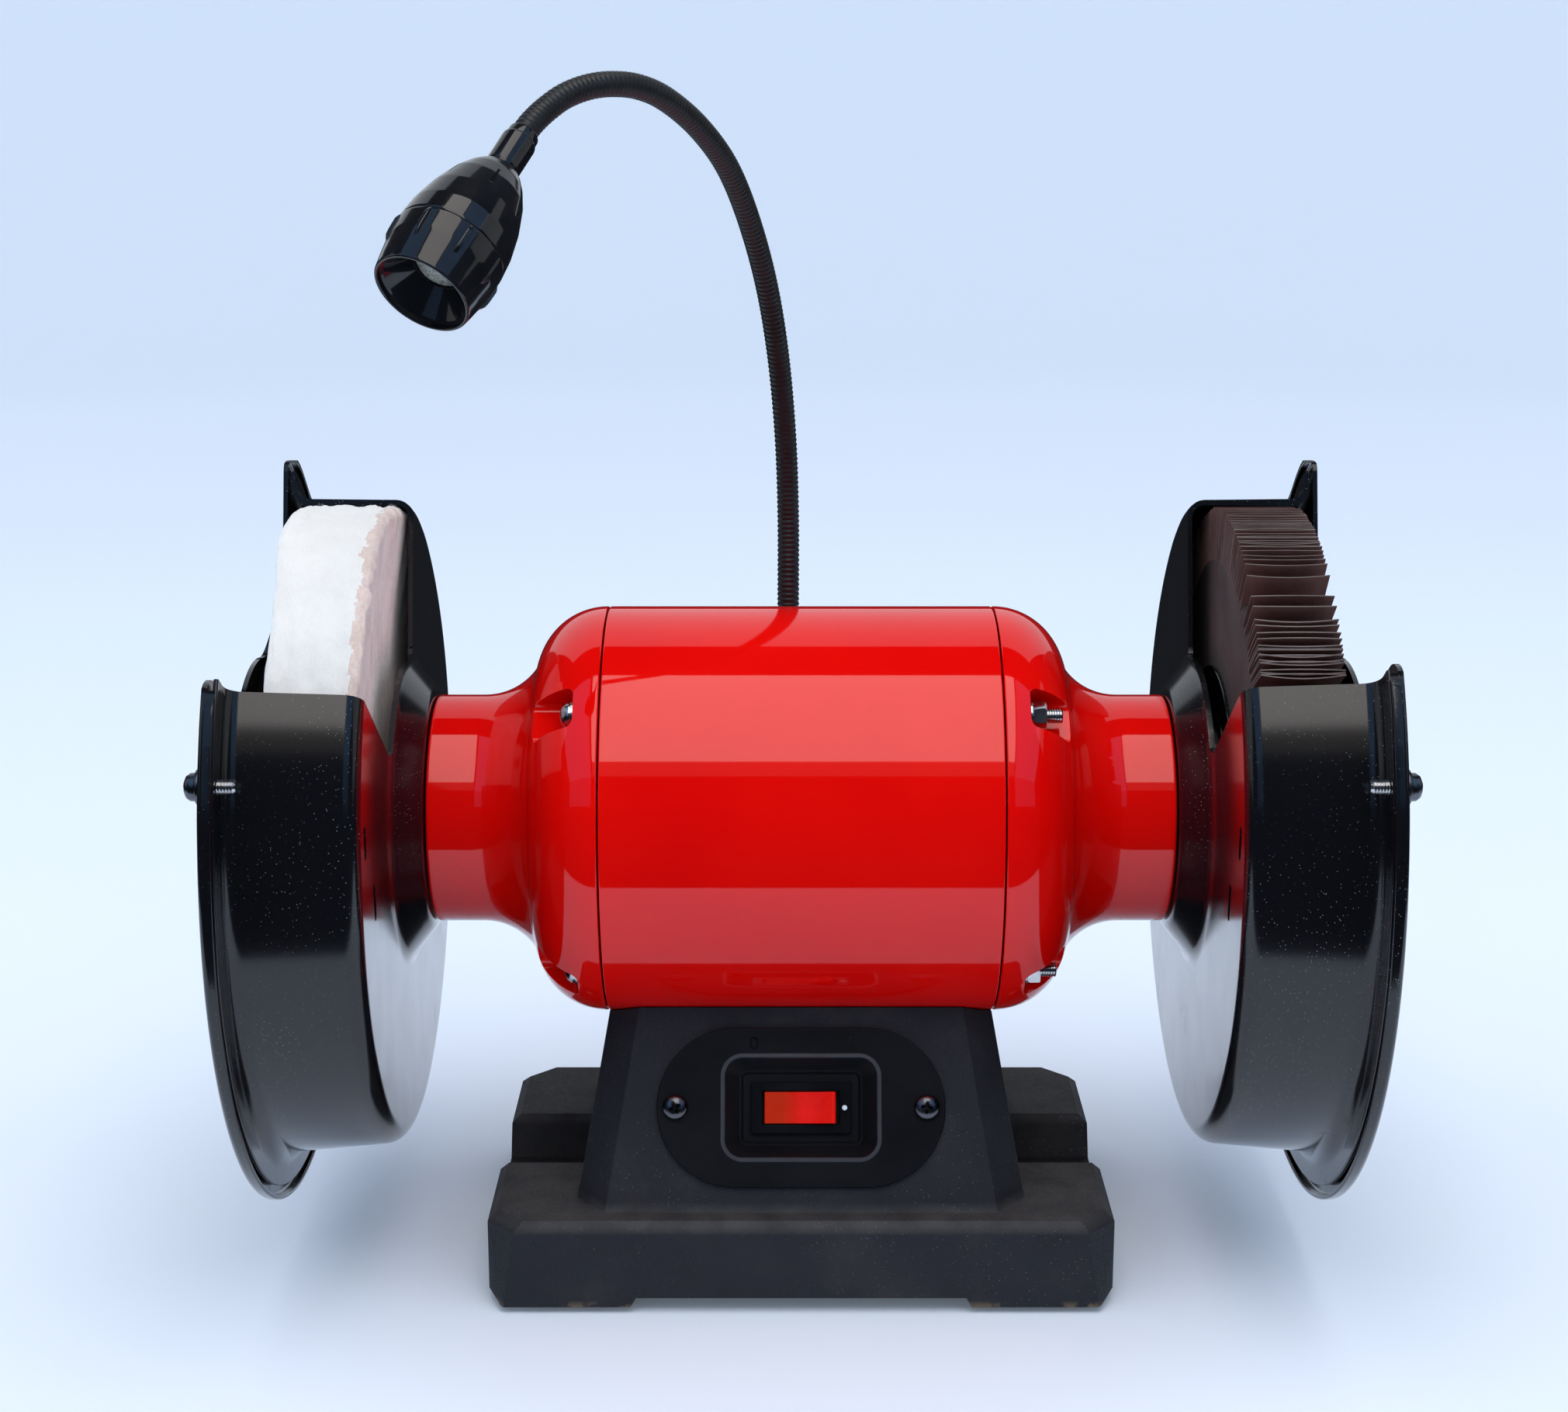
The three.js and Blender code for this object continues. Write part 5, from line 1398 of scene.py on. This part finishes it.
def area_light(name, low, high, width, radiance, color, seen_in=("diffuse", "glossy")):
    """A soft light spread from its low edge to its high edge, facing the grinder."""
    low, high = Vector(low), Vector(high)
    middle = (low + high) / 2
    across = Vector((1, 0, 0)) if abs((high - low).x) < 0.2 else Vector((0, 1, 0))
    up = (high - low).normalized()
    facing = across.cross(up)
    if facing.dot(Vector((0, 0, 0.15)) - middle) < 0:
        across, facing = -across, -facing
    data = bpy.data.lights.new(name, "AREA")
    data.shape = "RECTANGLE"
    data.size, data.size_y = width, (high - low).length
    data.energy = radiance * math.pi * data.size * data.size_y
    data.color = color
    lamp = linked(name, data)
    lamp.visible_camera = False
    lamp.visible_glossy = "glossy" in seen_in
    lamp.visible_diffuse = "diffuse" in seen_in
    lamp.matrix_world = Matrix.Translation(middle) @ Matrix((across, up, -facing)).transposed().to_4x4()


def stage_piece(name, bm, material, glossy):
    """A staged surface. glossy says whether the grinder's polished faces mirror it."""
    made = mesh_object(name, bm, [material])
    made.data.shade_smooth()
    made.visible_glossy = glossy


def glowing_pale_surface():
    m = Nodes("glowing_pale_floor")
    m.set(Roughness=0.95, Specular_IOR_Level=0.05)
    m.color(m.ramp(m.noise(1.2, 2), [(0.3, (0.70, 0.775, 0.90)), (0.7, (0.715, 0.79, 0.91))]))
    # Painted light: the floor and cove glow, faintly near the grinder, which lifts its shadow, and more
    # strongly further out, which brightens the backdrop.
    far = m.add("ShaderNodeVectorMath", operation="LENGTH")
    m.link(m.place, far.inputs[0])
    m.set(Emission_Color=(0.84, 0.94, 1.0, 1))
    m.link(m.ranged(far.outputs["Value"], 0.3, 2.2, 0.085, 0.29), m.shader.inputs["Emission Strength"])
    return m.material


def floor_sheet():
    """The floor near the grinder, which its polished faces mirror."""
    sheet = bmesh.new()
    corners = [(-0.75, -0.32), (0.75, -0.32), (0.75, 0.45), (-0.75, 0.45)]
    sheet.faces.new([sheet.verts.new((x, y, 0)) for x, y in corners])
    return sheet


def round_cove():
    """A wide floor just under the sheet, which turns up into a wall all round."""
    flat, bend, floor, steps = 2.6, 1.2, -0.0004, 96
    curve = [(flat + bend * math.sin(a), bend - bend * math.cos(a)) for a in
             [math.radians(6 * k) for k in range(1, 16)]]
    outline = [(0.75, floor), (flat, floor), *curve, (flat + bend, 4.6)]
    ways = [(math.cos(2 * math.pi * k / steps), math.sin(2 * math.pi * k / steps)) for k in range(steps)]
    cove = bmesh.new()
    centre = cove.verts.new((0, 0, floor))
    rings = [[cove.verts.new((r * c, r * s, z)) for c, s in ways] for r, z in outline]
    for k in range(steps):
        m = (k + 1) % steps
        cove.faces.new((centre, rings[0][k], rings[0][m]))
        for one, two in zip(rings, rings[1:]):
            cove.faces.new((one[k], two[k], two[m], one[m]))
    return cove


def make_stage():
    """A round white cove with the grinder on its floor, lit by one large soft light above the front and by
    the cove's own painted glow.
    """
    world_light()
    pale = glowing_pale_surface()
    stage_piece("floor_sheet", floor_sheet(), pale, glossy=True)
    stage_piece("cove", round_cove(), pale, glossy=False)
    warm, white, blue = (1.0, 0.95, 0.91), (1.0, 0.99, 0.98), (0.30, 0.56, 1.0)
    area_light("front_soft", (0.07, -1.38, 1.35), (0.07, 0.12, 1.9), 0.9, 2.7, warm)
    area_light("front_low", (0.07, -1.68, 1.24), (0.07, -1.38, 1.35), 0.9, 0.3, (1.0, 0.88, 0.78))
    area_light("fill", (0, -1.3, 1.45), (0, 1.1, 1.95), 3.4, 1.0, white, ["diffuse"])
    for name, side in SIDES.items():
        low, high = (1.9 * side, 0.1, 0.35), (1.5 * side, 0.1, 1.5)
        area_light(f"{name}_soft", low, high, 1.2, 0.5, (0.95, 0.97, 1.0))
    area_light("back_glow", (0, 2.4, 0.5), (0, 1.3, 2.6), 3.4, 0.7, (0.86, 0.93, 1.0), ["glossy"])
    for name, x in (("left", -1.2), ("right", 1.32)):
        area_light(f"{name}_haze_high", (x, -1.72, 1.25), (x, 0.1, 1.9), 1.5, 0.75, blue, ["glossy"])
        area_light(f"{name}_haze_low", (x, -1.9, 0.72), (x, -1.72, 1.25), 1.5, 0.36, blue, ["glossy"])


def make_camera():
    """The photograph's view: looking a little down, level, square to the switch side."""
    down, above_spindle = 14, 0.2455
    data = bpy.data.cameras.new("camera")
    data.sensor_width = 36
    data.lens = 60.56
    data.clip_start, data.clip_end = 0.05, 100
    camera = linked("camera", data)
    camera.location = (-0.0055, -0.845, SPINDLE_Z * MM + above_spindle)
    camera.rotation_euler = (math.radians(90 - down), 0, 0)
    bpy.context.scene.camera = camera


bpy.context.scene.view_settings.view_transform = "Standard"
make_camera()
make_stage()
make_motor()
make_guards()
make_base()
make_switch()
make_wheels()
make_lamp()
dress_nodes()
